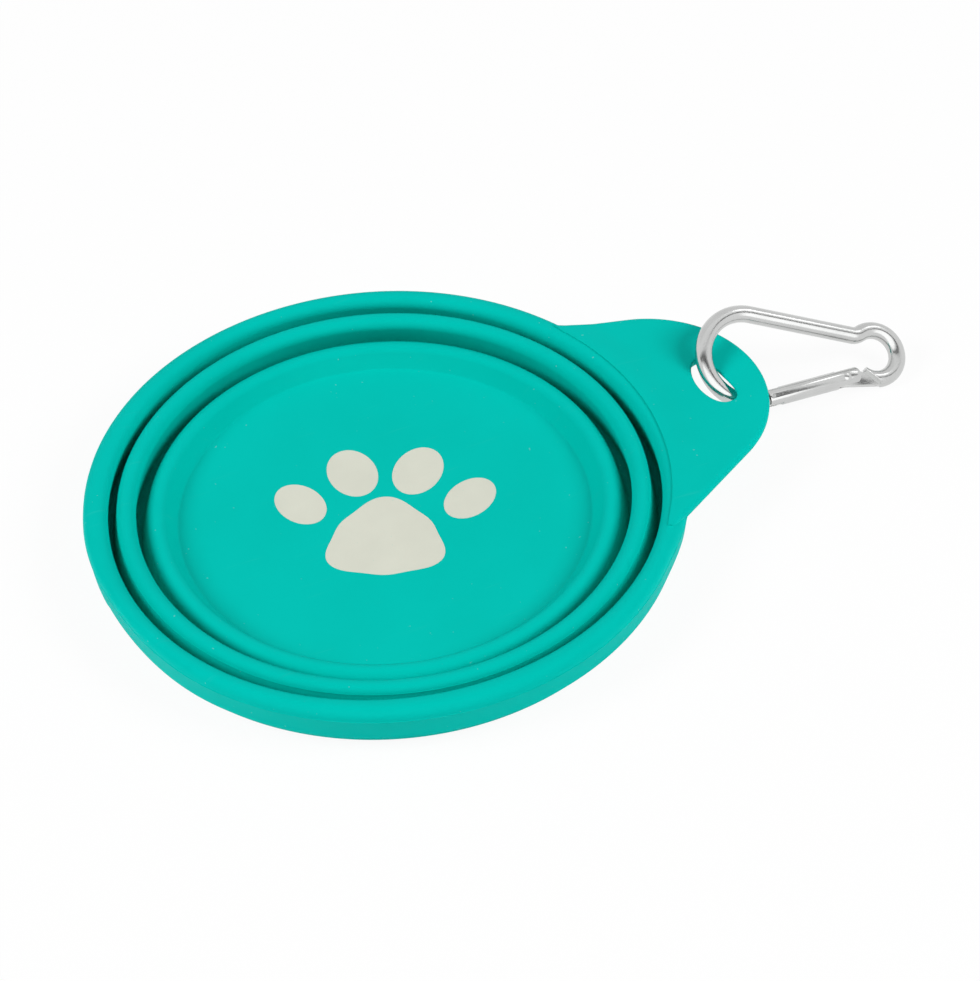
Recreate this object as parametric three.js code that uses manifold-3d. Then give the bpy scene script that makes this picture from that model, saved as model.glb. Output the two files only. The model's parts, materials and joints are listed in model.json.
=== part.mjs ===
// Collapsible silicone travel bowl, folded flat, with a snap hook through the slot of its tab.
// Millimetres, +Z up. The origin is the middle of the base's underside, and the tab points along +X.
import * as THREE from 'three';
import { mergeVertices } from 'three/addons/utils/BufferGeometryUtils.js';
import Module from 'manifold-3d';

const wasm = await Module();
wasm.setup();

// Bowl, from the outside in. The heights are those of the folded bowl.
const BOWL_RADIUS = 65;
const FOLDED_HEIGHT = 13.5;
const RIM_WIDTH = 4.2;
const RIM_DEPTH = 8.6;
const RIM_TAPER = 0.75;
const RIM_OUTER_ROUND = 2.4;
const RIM_FOOT_ROUND = 1.2;
const LIP_ROUND = 0.6;
const WALL = 1.4;
const WALL_DRAFT = 0.6;
const CREST_THICKNESS = 1.6;
const SHOULDER_ROUND = 0.9;
const INNER_CORNER_ROUND = 0.5;

// Fold webs: the thin silicone that flips when a ring is pulled up.
const WEB_THICKNESS = 0.9;
const FOLD_BEND = 0.7;
const CREST_BEND = 1.5;
const WEB_LEAN = 2.1;
const WEB_JOINT_GAP = 0.15;
const UPPER_FOLD_CLEARANCE = 1.05;
const LOWER_FOLD_CLEARANCE = 0.5;

// Middle ring and base.
const MIDDLE_CREST_DROP = 1.0;
const MIDDLE_CREST_WIDTH = 2.7;
const BASE_CREST_DROP = 5.2;
const BASE_CREST_WIDTH = 4.0;
const BASE_LIP_DROP = 0.3;
const DISH_WALL_RUN = 3.0;
const FLOOR_THICKNESS = 4.5;
const FLOOR_RISE = 0.3;
const DISH_ROUND = 2.4;
const FOOT_INSET = 1.4;
const FOOT_ROUND = 1.0;

// Tab on the rim, with an oblong slot across it.
const TAB_THICKNESS = 2.2;
const TAB_DROP = 0.8;
const TAB_TIP_RADIUS = 27.0;
const TAB_TIP_INSET = 0.85;
const TAB_SIDE_OFFSET = 0.4;
const TAB_FLARE = THREE.MathUtils.degToRad(22.3);
const TAB_TURN = THREE.MathUtils.degToRad(7.1);
const TAB_EDGE_ROUND = 0.9;
const SLOT_LENGTH = 15.6;
const SLOT_PLAY = 3.9;
const SLOT_FROM_RIM = 15.05;
const SLOT_SIDE_OFFSET = -0.35;
const HOOK_REST_OFFSET = 0.15;

// Snap hook: a bent wire with a wide end in the slot, a small bulb at the far end and a gate between them.
const WIRE_DIAMETER = 3.9;
const WIDE_RADIUS = 10.4;
const BULB_RADIUS = 5.8;
const ARC_SPACING = 31.7;
const SIDE_ANGLE = THREE.MathUtils.degToRad(12.4);
const NECK_RADIUS = 3.0;
const BULB_END_ANGLE = THREE.MathUtils.degToRad(-103);
const END_CUT_ALLOWANCE = THREE.MathUtils.degToRad(14);
const END_CUT_SLANT = THREE.MathUtils.degToRad(11.5);
const HOOK_YAW = THREE.MathUtils.degToRad(-9.0);
const HOOK_PITCH = THREE.MathUtils.degToRad(13.1);
const HOOK_ROLL = THREE.MathUtils.degToRad(32.4);
const SLOT_CROSSING_ANGLE = THREE.MathUtils.degToRad(-147.4);

// Gate, its hinge and its latch. Places along the gate are measured from the rivet.
const GATE_DIAMETER = 4.2;
const GATE_START = 1.4;
const EAR_REACH = 3.4;
const RIVET_RADIUS = 0.8;
const RIVET_SETBACK = 6.8;
const RIVET_PROUD = 0.15;
const TONGUE_THICKNESS = 1.5;
const TONGUE_HALF_WIDTH = 1.3;
const TONGUE_HEEL = 1.3;
const TONGUE_BITE = 1.2;
const HINGE_SLOT_DEPTH = 2.3;
const NOSE_LENGTH = 2.6;
const NOSE_HALF_WIDTH = 1.6;
const NOSE_END_GAP = 1.0;
const WIRE_END_GAP = 0.4;
const LATCH_PIN_RADIUS = 0.5;
const LATCH_PIN_SETBACK = 1.15;
const LATCH_PIN_INSET = 0.15;
const RUNNING_GAP = 0.3;

// Spring and plunger in the gate's bore.
const BORE_DIAMETER = 2.6;
const PLUNGER_LENGTH = 3.2;
const PLUNGER_GAP = 0.4;
const SPRING_WIRE = 0.4;
const SPRING_TURNS = 8;
const SPRING_PITCH = 0.9;

// Facets.
const BOWL_SEGMENTS = 60;
const ROUND_STEPS = 3;
const WIRE_SIDES = 12;
const WIRE_STEPS = 72;
const PIN_SIDES = 16;
const SPRING_SIDES = 5;
const SPRING_STEPS = 8;
const MERGE_DISTANCE = 1e-4;

// Sizes that follow from the ones above.
const LIP_RADIUS = BOWL_RADIUS - RIM_WIDTH;
const WIRE_RADIUS = WIRE_DIAMETER / 2;
const GATE_RADIUS = GATE_DIAMETER / 2;
const SLOT_WIDTH = WIRE_DIAMETER + SLOT_PLAY;
const TAB_TOP = FOLDED_HEIGHT - TAB_DROP;
const TAB_MIDDLE = TAB_TOP - TAB_THICKNESS / 2;
const TAB_CENTRE = new THREE.Vector2(BOWL_RADIUS - TAB_TIP_INSET, TAB_SIDE_OFFSET);
const SLOT_X = BOWL_RADIUS + SLOT_FROM_RIM;

// Solids

function toSolid(geometry) {
  const bare = geometry.clone();
  bare.deleteAttribute('normal');
  bare.deleteAttribute('uv');
  const merged = mergeVertices(bare, MERGE_DISTANCE);
  const index = merged.index.array;
  const triangles = [];
  for (let i = 0; i < index.length; i += 3) {
    const [a, b, c] = [index[i], index[i + 1], index[i + 2]];
    if (a !== b && b !== c && c !== a) triangles.push(a, b, c);
  }
  return new wasm.Manifold(new wasm.Mesh({
    numProp: 3,
    vertProperties: new Float32Array(merged.attributes.position.array),
    triVerts: new Uint32Array(triangles),
  }));
}

function toGeometry(solid) {
  const { vertProperties, triVerts } = solid.getMesh();
  const geometry = new THREE.BufferGeometry();
  geometry.setAttribute('position', new THREE.BufferAttribute(vertProperties, 3));
  geometry.setIndex(new THREE.BufferAttribute(triVerts, 1));
  geometry.computeVertexNormals();
  return geometry;
}

function piece(name, solid, material) {
  const mesh = new THREE.Mesh(toGeometry(solid), material);
  mesh.name = name;
  return mesh;
}

// A section is a closed list of [radius, height, rounding] corners, drawn clockwise.
function roundedSection(corners) {
  const points = [];
  corners.forEach(([x, y, rounding = 0], i) => {
    const corner = new THREE.Vector2(x, y);
    const before = new THREE.Vector2(...corners.at(i - 1)).sub(corner).normalize();
    const after = new THREE.Vector2(...corners[(i + 1) % corners.length]).sub(corner).normalize();
    if (rounding === 0) {
      points.push(corner);
      return;
    }
    const half = Math.acos(THREE.MathUtils.clamp(before.dot(after), -1, 1)) / 2;
    const centre = before.clone().add(after).setLength(rounding / Math.sin(half)).add(corner);
    const start = before.multiplyScalar(rounding / Math.tan(half)).add(corner).sub(centre);
    const turn = Math.sign(start.cross(corner.clone().sub(centre))) * (Math.PI - 2 * half);
    for (let step = 0; step <= ROUND_STEPS; step++) {
      points.push(start.clone().rotateAround(new THREE.Vector2(), turn * step / ROUND_STEPS).add(centre));
    }
  });
  return points;
}

// A strip of even thickness along a path in the section plane.
function stripSection(path, thickness) {
  const middle = path.getPoints(ROUND_STEPS);
  const directions = middle.map((point, i) => middle.at(i + 1 - middle.length).clone().sub(middle.at(i - 1)));
  directions[0] = path.getTangent(0);
  directions[middle.length - 1] = path.getTangent(1);
  const sides = [1, -1].map((side) => middle.map((point, i) => {
    const along = directions[i];
    return new THREE.Vector2(-along.y, along.x).setLength(side * thickness / 2).add(point);
  }));
  return [...sides[0], ...sides[1].reverse()];
}

function lathe(section, closed = true) {
  const profile = closed ? [...section, section[0]] : section;
  const geometry = new THREE.LatheGeometry(profile.reverse(), BOWL_SEGMENTS);
  return toSolid(geometry.rotateX(Math.PI / 2));
}

function plate(corners, thickness) {
  const shape = new THREE.Shape(corners.map(([x, y]) => new THREE.Vector2(x, y)));
  const geometry = new THREE.ExtrudeGeometry(shape, { depth: thickness, bevelEnabled: false });
  return toSolid(geometry.translate(0, 0, -thickness / 2));
}

function rodX(radius, from, to) {
  const geometry = new THREE.CylinderGeometry(radius, radius, to - from, PIN_SIDES);
  return toSolid(geometry.rotateZ(Math.PI / 2).translate((from + to) / 2, 0, 0));
}

function pinZ(radius, length, x) {
  const geometry = new THREE.CylinderGeometry(radius, radius, length, PIN_SIDES);
  return toSolid(geometry.rotateX(Math.PI / 2).translate(x, 0, 0));
}

function tube(path, radius, sides, steps) {
  const section = new THREE.Shape();
  for (let i = 0; i < sides; i++) {
    const angle = 2 * Math.PI * i / sides;
    const point = [radius * Math.cos(angle), radius * Math.sin(angle)];
    if (i === 0) section.moveTo(...point);
    else section.lineTo(...point);
  }
  return toSolid(new THREE.ExtrudeGeometry(section, { steps, extrudePath: path }));
}

// Bowl

// A ring wall hangs from the inner lip of a crest and leans in by the draft. The fold starts at its foot.
function ringWall(lipRadius, foldClearance) {
  const inner = lipRadius - WALL_DRAFT;
  const foldMiddle = inner + WALL / 2 - FOLD_BEND;
  const foldHeight = foldClearance + WEB_THICKNESS / 2 + FOLD_BEND;
  return { inner, outer: inner + WALL, foot: foldHeight + WEB_JOINT_GAP, foldMiddle, foldHeight };
}

const upperWall = ringWall(LIP_RADIUS, UPPER_FOLD_CLEARANCE);
const middleShoulder = upperWall.foldMiddle - FOLD_BEND - WEB_LEAN;
const middleCrest = FOLDED_HEIGHT - MIDDLE_CREST_DROP;
const middleLip = middleShoulder - MIDDLE_CREST_WIDTH;
const lowerWall = ringWall(middleLip, LOWER_FOLD_CLEARANCE);
const baseShoulder = lowerWall.foldMiddle - FOLD_BEND - WEB_LEAN;
const baseCrest = FOLDED_HEIGHT - BASE_CREST_DROP;
const baseLip = baseShoulder - BASE_CREST_WIDTH;

function rimRing() {
  const underside = FOLDED_HEIGHT - RIM_DEPTH;
  return lathe(roundedSection([
    [LIP_RADIUS, FOLDED_HEIGHT, LIP_ROUND],
    [BOWL_RADIUS, FOLDED_HEIGHT, RIM_OUTER_ROUND],
    [BOWL_RADIUS, FOLDED_HEIGHT - RIM_OUTER_ROUND],
    [BOWL_RADIUS - RIM_TAPER, underside, RIM_FOOT_ROUND],
    [LIP_RADIUS + WALL, underside, INNER_CORNER_ROUND],
    [upperWall.outer, upperWall.foot],
    [upperWall.inner, upperWall.foot],
  ]));
}

// A side of the tab touches its round tip and runs on, through the rim, to the point nearest the bowl's axis.
function tabSide(sign) {
  const facing = TAB_TURN + sign * (Math.PI / 2 - TAB_FLARE);
  const outward = new THREE.Vector2(Math.cos(facing), Math.sin(facing));
  const tangent = TAB_CENTRE.clone().addScaledVector(outward, TAB_TIP_RADIUS);
  const root = outward.clone().multiplyScalar(tangent.dot(outward));
  return { facing, root };
}

// The tab is turned a little about its tip's centre, and ends inside the rim.
function tab() {
  const [right, left] = [tabSide(-1), tabSide(1)];
  const outline = new THREE.Shape();
  outline.moveTo(left.root.x, left.root.y);
  outline.lineTo(right.root.x, right.root.y);
  outline.absarc(TAB_CENTRE.x, TAB_CENTRE.y, TAB_TIP_RADIUS, right.facing, left.facing, false);
  outline.holes.push(slotOutline());
  const geometry = new THREE.ExtrudeGeometry(outline, {
    depth: TAB_THICKNESS - 2 * TAB_EDGE_ROUND,
    bevelThickness: TAB_EDGE_ROUND,
    bevelSize: TAB_EDGE_ROUND,
    bevelOffset: -TAB_EDGE_ROUND,
    bevelSegments: 2,
    curveSegments: 14,
  });
  const inside = lathe([
    [0, TAB_TOP + TAB_THICKNESS],
    [BOWL_RADIUS - RIM_WIDTH / 2, TAB_TOP + TAB_THICKNESS],
    [BOWL_RADIUS - RIM_WIDTH / 2, TAB_TOP - 2 * TAB_THICKNESS],
    [0, TAB_TOP - 2 * TAB_THICKNESS],
  ].map(([radius, height]) => new THREE.Vector2(radius, height)), false);
  return toSolid(geometry.translate(0, 0, TAB_TOP - TAB_THICKNESS + TAB_EDGE_ROUND)).subtract(inside);
}

function slotOutline() {
  const end = (SLOT_LENGTH - SLOT_WIDTH) / 2;
  const slot = new THREE.Path();
  slot.absarc(SLOT_X, SLOT_SIDE_OFFSET + end, SLOT_WIDTH / 2, 0, Math.PI, false);
  slot.absarc(SLOT_X, SLOT_SIDE_OFFSET - end, SLOT_WIDTH / 2, Math.PI, 2 * Math.PI, false);
  return slot;
}

// A web turns under the foot of a ring wall, rises and bends over into the next crest.
function foldWeb(wall, shoulder, crest) {
  const top = crest - CREST_THICKNESS / 2;
  const path = new THREE.Path();
  path.absarc(wall.foldMiddle, wall.foldHeight, FOLD_BEND, 0, Math.PI, true);
  path.lineTo(shoulder + CREST_BEND, top - CREST_BEND);
  path.quadraticCurveTo(shoulder + CREST_BEND, top, shoulder + WEB_JOINT_GAP, top);
  return lathe(stripSection(path, WEB_THICKNESS));
}

function middleBand() {
  const underCrest = middleCrest - CREST_THICKNESS;
  return lathe(roundedSection([
    [middleLip, middleCrest, LIP_ROUND],
    [middleShoulder, middleCrest, SHOULDER_ROUND],
    [middleShoulder, underCrest],
    [middleLip + WALL, underCrest, INNER_CORNER_ROUND],
    [lowerWall.outer, lowerWall.foot],
    [lowerWall.inner, lowerWall.foot],
  ]));
}

function baseCup() {
  const crease = baseLip - DISH_WALL_RUN;
  const underCrest = baseCrest - CREST_THICKNESS;
  const corners = roundedSection([
    [0, FLOOR_THICKNESS],
    [crease, FLOOR_THICKNESS + FLOOR_RISE, DISH_ROUND],
    [baseLip, baseCrest - BASE_LIP_DROP, LIP_ROUND],
    [baseShoulder, baseCrest, SHOULDER_ROUND],
    [baseShoulder, underCrest],
    [baseLip + WALL, underCrest - BASE_LIP_DROP, INNER_CORNER_ROUND],
    [crease + WALL - FOOT_INSET, 0, FOOT_ROUND],
    [0, 0],
  ]);
  return lathe(corners, false);
}

// Snap hook, in its own plane: x runs from the wide end to the bulb, and y from the gate to the spine.

class PlaneArc extends THREE.Curve {
  constructor(centre, radius, from, to) {
    super();
    Object.assign(this, { centre, radius, from, to });
  }

  getPoint(t, target = new THREE.Vector3()) {
    const angle = THREE.MathUtils.lerp(this.from, this.to, t);
    const [x, y] = [Math.cos(angle), Math.sin(angle)];
    return target.set(this.centre.x + this.radius * x, this.centre.y + this.radius * y, 0);
  }
}

// The gate's line touches the wide arc at its tangent point.
const gateAlong = new THREE.Vector2(Math.cos(SIDE_ANGLE), Math.sin(SIDE_ANGLE));
const gateInward = new THREE.Vector2(-gateAlong.y, gateAlong.x);
const gateTangent = gateInward.clone().multiplyScalar(-WIDE_RADIUS);
const bulbCentre = new THREE.Vector2(ARC_SPACING, 0);
const wireEnd = new THREE.Vector2(Math.cos(BULB_END_ANGLE), Math.sin(BULB_END_ANGLE))
  .multiplyScalar(BULB_RADIUS).add(bulbCentre);
const rivetStation = wireEnd.clone().sub(gateTangent).dot(gateAlong) - RIVET_SETBACK;
const rivet = gateTangent.clone().addScaledVector(gateAlong, rivetStation);

// Places in the gate's frame, whose origin is the rivet and whose x runs towards the bulb.
const gateEnd = GATE_START - rivetStation;
const noseTip = gateEnd + NOSE_LENGTH;
const latchPin = gateEnd + LATCH_PIN_SETBACK;

function inGateFrame(point) {
  const offset = point.clone().sub(rivet);
  return new THREE.Vector2(offset.dot(gateAlong), offset.dot(gateInward));
}

function wirePath() {
  const spineAlong = new THREE.Vector2(gateAlong.x, -gateAlong.y);
  const spineOut = new THREE.Vector2(gateAlong.y, gateAlong.x);
  const spineStart = spineOut.clone().multiplyScalar(WIDE_RADIUS);
  const depth = spineStart.clone().sub(bulbCentre).dot(spineOut);
  const run = Math.sqrt((BULB_RADIUS + NECK_RADIUS) ** 2 - (depth + NECK_RADIUS) ** 2);
  const foot = bulbCentre.clone().addScaledVector(spineOut, depth);
  const neckStart = foot.clone().addScaledVector(spineAlong, -run);
  const neckCentre = neckStart.clone().addScaledVector(spineOut, NECK_RADIUS);
  const toBulb = bulbCentre.clone().sub(neckCentre);
  const neckFrom = spineOut.angle() - Math.PI;
  const neckTo = toBulb.angle() - 2 * Math.PI;
  const noseStart = gateTangent.clone().addScaledVector(gateAlong, GATE_START - WIRE_END_GAP);
  const arcStart = gateTangent.angle() - 2 * Math.PI;
  const arcEnd = spineStart.angle() - 2 * Math.PI;
  const flat = ({ x, y }) => new THREE.Vector3(x, y, 0);
  const path = new THREE.CurvePath();
  path.add(new THREE.LineCurve3(flat(noseStart), flat(gateTangent)));
  path.add(new PlaneArc(new THREE.Vector2(), WIDE_RADIUS, arcStart, arcEnd));
  path.add(new THREE.LineCurve3(flat(spineStart), flat(neckStart)));
  path.add(new PlaneArc(neckCentre, NECK_RADIUS, neckFrom, neckTo));
  const bulbStart = toBulb.angle() - Math.PI;
  path.add(new PlaneArc(bulbCentre, BULB_RADIUS, bulbStart, BULB_END_ANGLE - END_CUT_ALLOWANCE));
  return path;
}

function turnToGate(solid) {
  return solid.rotate([0, 0, THREE.MathUtils.radToDeg(SIDE_ANGLE)]).translate([rivet.x, rivet.y, 0]);
}

function hingeTongue() {
  const end = inGateFrame(wireEnd);
  const along = end.clone().normalize();
  const across = new THREE.Vector2(-along.y, along.x).multiplyScalar(TONGUE_HALF_WIDTH);
  end.addScaledVector(along, TONGUE_BITE);
  return plate([
    [-TONGUE_HEEL, -TONGUE_HALF_WIDTH],
    [end.x - across.x, end.y - across.y],
    [end.x + across.x, end.y + across.y],
    [-TONGUE_HEEL, TONGUE_HALF_WIDTH],
  ], TONGUE_THICKNESS);
}

// The wire's end at the bulb is cut off at a slant, facing the gate's ears.
function endCut() {
  const end = inGateFrame(wireEnd);
  const slant = new THREE.Vector2(0, 2 * WIRE_DIAMETER).rotateAround(new THREE.Vector2(), END_CUT_SLANT);
  const [low, high] = [end.clone().sub(slant), end.clone().add(slant)];
  return plate([[0, low.y], [low.x, low.y], [high.x, high.y], [0, high.y]], 2 * WIRE_DIAMETER);
}

// The nose is the flat end of the wire at the wide arc. Its notch, open inwards, holds the latch pin.
function latchNose() {
  const root = gateEnd - WIRE_END_GAP - TONGUE_BITE;
  const notchHalf = LATCH_PIN_RADIUS + RUNNING_GAP;
  return plate([
    [root, -NOSE_HALF_WIDTH],
    [noseTip, -NOSE_HALF_WIDTH],
    [noseTip, NOSE_HALF_WIDTH],
    [latchPin + notchHalf, NOSE_HALF_WIDTH],
    [latchPin + notchHalf, -notchHalf],
    [latchPin - notchHalf, -notchHalf],
    [latchPin - notchHalf, NOSE_HALF_WIDTH],
    [root, NOSE_HALF_WIDTH],
  ], TONGUE_THICKNESS);
}

function hookWire() {
  const rivetHole = pinZ(RIVET_RADIUS + RUNNING_GAP, GATE_DIAMETER, 0);
  return tube(wirePath(), WIRE_RADIUS, WIRE_SIDES, WIRE_STEPS)
    .subtract(turnToGate(endCut()))
    .add(turnToGate(hingeTongue()))
    .add(turnToGate(latchNose()))
    .subtract(turnToGate(rivetHole));
}

// A cut across the whole gate, wide enough for a tongue and its play.
function forkCut(from, to) {
  const half = GATE_DIAMETER;
  return plate([[from, -half], [to, -half], [to, half], [from, half]], TONGUE_THICKNESS + 2 * RUNNING_GAP);
}

const springLength = SPRING_TURNS * SPRING_PITCH + SPRING_WIRE;
const boreEnd = -TONGUE_HEEL - PLUNGER_GAP - PLUNGER_LENGTH - springLength - 3 * RUNNING_GAP;

function gateRod() {
  const outside = 2 * GATE_DIAMETER;
  const ears = rodX(GATE_RADIUS, -GATE_RADIUS, EAR_REACH).intersect(pinZ(EAR_REACH, outside, 0));
  return rodX(GATE_RADIUS, gateEnd, 0)
    .add(ears)
    .subtract(forkCut(-HINGE_SLOT_DEPTH, outside))
    .subtract(forkCut(gateEnd - outside, noseTip + NOSE_END_GAP))
    .subtract(rodX(BORE_DIAMETER / 2, boreEnd, 0))
    .subtract(pinZ(RIVET_RADIUS + RUNNING_GAP, outside, 0))
    .subtract(pinZ(LATCH_PIN_RADIUS + RUNNING_GAP, outside, latchPin));
}

function plunger() {
  const face = -TONGUE_HEEL - PLUNGER_GAP;
  return rodX(BORE_DIAMETER / 2 - RUNNING_GAP, face - PLUNGER_LENGTH, face);
}

class Helix extends THREE.Curve {
  constructor(radius, pitch, turns) {
    super();
    Object.assign(this, { radius, pitch, turns });
  }

  getPoint(t, target = new THREE.Vector3()) {
    const angle = 2 * Math.PI * this.turns * t;
    const x = this.pitch * this.turns * t;
    return target.set(x, this.radius * Math.cos(angle), this.radius * Math.sin(angle));
  }
}

// Least gap between points of the coil that lie at least half a turn apart along the wire.
function leastSelfGap(coil) {
  const points = coil.getPoints(coil.turns * SPRING_STEPS);
  const skip = SPRING_STEPS / 2;
  let least = Infinity;
  for (let i = 0; i < points.length; i++) {
    for (let j = i + skip; j < points.length; j++) {
      least = Math.min(least, points[i].distanceTo(points[j]) - SPRING_WIRE);
    }
  }
  return least;
}

function gateSpring() {
  const radius = BORE_DIAMETER / 2 - RUNNING_GAP - SPRING_WIRE / 2;
  const coil = new Helix(radius, SPRING_PITCH, SPRING_TURNS);
  console.log(`gate_spring: least gap to itself ${leastSelfGap(coil).toFixed(2)} mm`);
  const start = boreEnd + RUNNING_GAP + SPRING_WIRE / 2;
  return tube(coil, SPRING_WIRE / 2, SPRING_SIDES, SPRING_TURNS * SPRING_STEPS).translate([start, 0, 0]);
}

// Assembly

const silicone = new THREE.MeshStandardMaterial({ color: 0x02c3b4, roughness: 0.55, metalness: 0 });
const steel = new THREE.MeshStandardMaterial({ color: 0xd9d9d6, roughness: 0.2, metalness: 1 });
const springSteel = new THREE.MeshStandardMaterial({ color: 0xa9adb0, roughness: 0.35, metalness: 1 });

function bowlPieces() {
  return [
    piece('rim_and_tab', rimRing().add(tab()), silicone),
    piece('upper_fold_web', foldWeb(upperWall, middleShoulder, middleCrest), silicone),
    piece('middle_band', middleBand(), silicone),
    piece('lower_fold_web', foldWeb(lowerWall, baseShoulder, baseCrest), silicone),
    piece('base_cup', baseCup(), silicone),
  ];
}

function gateGroup() {
  const group = new THREE.Group();
  group.position.set(rivet.x, rivet.y, 0);
  group.rotation.z = SIDE_ANGLE;
  group.add(
    piece('hook_gate', gateRod(), steel),
    piece('gate_rivet', pinZ(RIVET_RADIUS, GATE_DIAMETER + 2 * RIVET_PROUD, 0), steel),
    piece('latch_pin', pinZ(LATCH_PIN_RADIUS, GATE_DIAMETER - 2 * LATCH_PIN_INSET, latchPin), steel),
    piece('gate_plunger', plunger(), steel),
    piece('gate_spring', gateSpring(), springSteel),
  );
  return group;
}

// The wide arc's wire crosses the tab inside the slot, a little nearer the tip than the slot's middle.
function hookGroup() {
  const crossing = new THREE.Vector2(Math.cos(SLOT_CROSSING_ANGLE), Math.sin(SLOT_CROSSING_ANGLE))
    .multiplyScalar(WIDE_RADIUS);
  const inPlane = new THREE.Group();
  inPlane.position.set(-crossing.x, -crossing.y, 0);
  inPlane.add(piece('hook_wire', hookWire(), steel), gateGroup());
  const group = new THREE.Group();
  group.position.set(SLOT_X + HOOK_REST_OFFSET, SLOT_SIDE_OFFSET, TAB_MIDDLE);
  group.rotation.set(HOOK_ROLL, HOOK_PITCH, HOOK_YAW, 'ZYX');
  group.add(inPlane);
  return group;
}

const bowl = new THREE.Group();
bowl.add(...bowlPieces(), hookGroup());

export default bowl;
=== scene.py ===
"""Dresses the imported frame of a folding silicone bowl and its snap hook, and sets it in a plain studio."""

import json
import math

import bmesh
import bpy
from bpy.props import FloatProperty, FloatVectorProperty, IntProperty, PointerProperty
from mathutils import Matrix, Vector


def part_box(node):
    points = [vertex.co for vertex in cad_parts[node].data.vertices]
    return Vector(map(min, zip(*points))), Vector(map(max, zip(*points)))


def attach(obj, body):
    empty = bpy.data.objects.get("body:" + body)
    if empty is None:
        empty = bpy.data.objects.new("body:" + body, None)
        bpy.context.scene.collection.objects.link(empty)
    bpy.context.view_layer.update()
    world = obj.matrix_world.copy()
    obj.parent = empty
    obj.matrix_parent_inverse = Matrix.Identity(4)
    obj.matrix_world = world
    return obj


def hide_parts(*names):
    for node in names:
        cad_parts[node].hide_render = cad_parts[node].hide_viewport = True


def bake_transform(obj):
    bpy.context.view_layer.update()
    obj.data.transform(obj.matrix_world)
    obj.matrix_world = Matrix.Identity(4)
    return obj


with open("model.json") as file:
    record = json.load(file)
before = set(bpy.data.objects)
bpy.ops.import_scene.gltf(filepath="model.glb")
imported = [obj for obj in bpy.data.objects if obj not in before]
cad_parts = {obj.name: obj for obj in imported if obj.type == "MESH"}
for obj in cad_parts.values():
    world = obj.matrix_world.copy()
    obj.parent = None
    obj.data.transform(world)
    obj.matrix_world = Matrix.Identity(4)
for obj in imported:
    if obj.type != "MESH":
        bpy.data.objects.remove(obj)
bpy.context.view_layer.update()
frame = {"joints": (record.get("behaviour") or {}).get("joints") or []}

bl_info = {
    "name": "Folding bowl with a snap hook",
    "version": (1, 0, 0),
    "blender": (4, 5, 0),
    "location": "View3D > Sidebar > Bowl",
    "description": "Dresses the frame of a folding silicone bowl, its tab and its snap hook",
    "category": "Object",
}

MM = 0.001
RIM_LOW, RIM_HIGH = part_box("rim_and_tab")
JOINTS = {joint["name"]: joint for joint in frame["joints"]}
ROUND_STEPS = 8
BOWL_SEGMENTS = 288


# Properties


def length(name, description, millimetres):
    return FloatProperty(name=name, description=description, default=millimetres * MM, precision=5,
                         subtype="DISTANCE", unit="LENGTH")


def angle(name, description, degrees):
    return FloatProperty(name=name, description=description, default=math.radians(degrees),
                         subtype="ANGLE", unit="ROTATION")


def colour(name, description, default):
    return FloatVectorProperty(name=name, description=description, default=default, size=3,
                               min=0.0, max=1.0, subtype="COLOR")


def share(name, description, default):
    return FloatProperty(name=name, description=description, default=default, min=0.0, max=1.0,
                         subtype="FACTOR")


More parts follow.
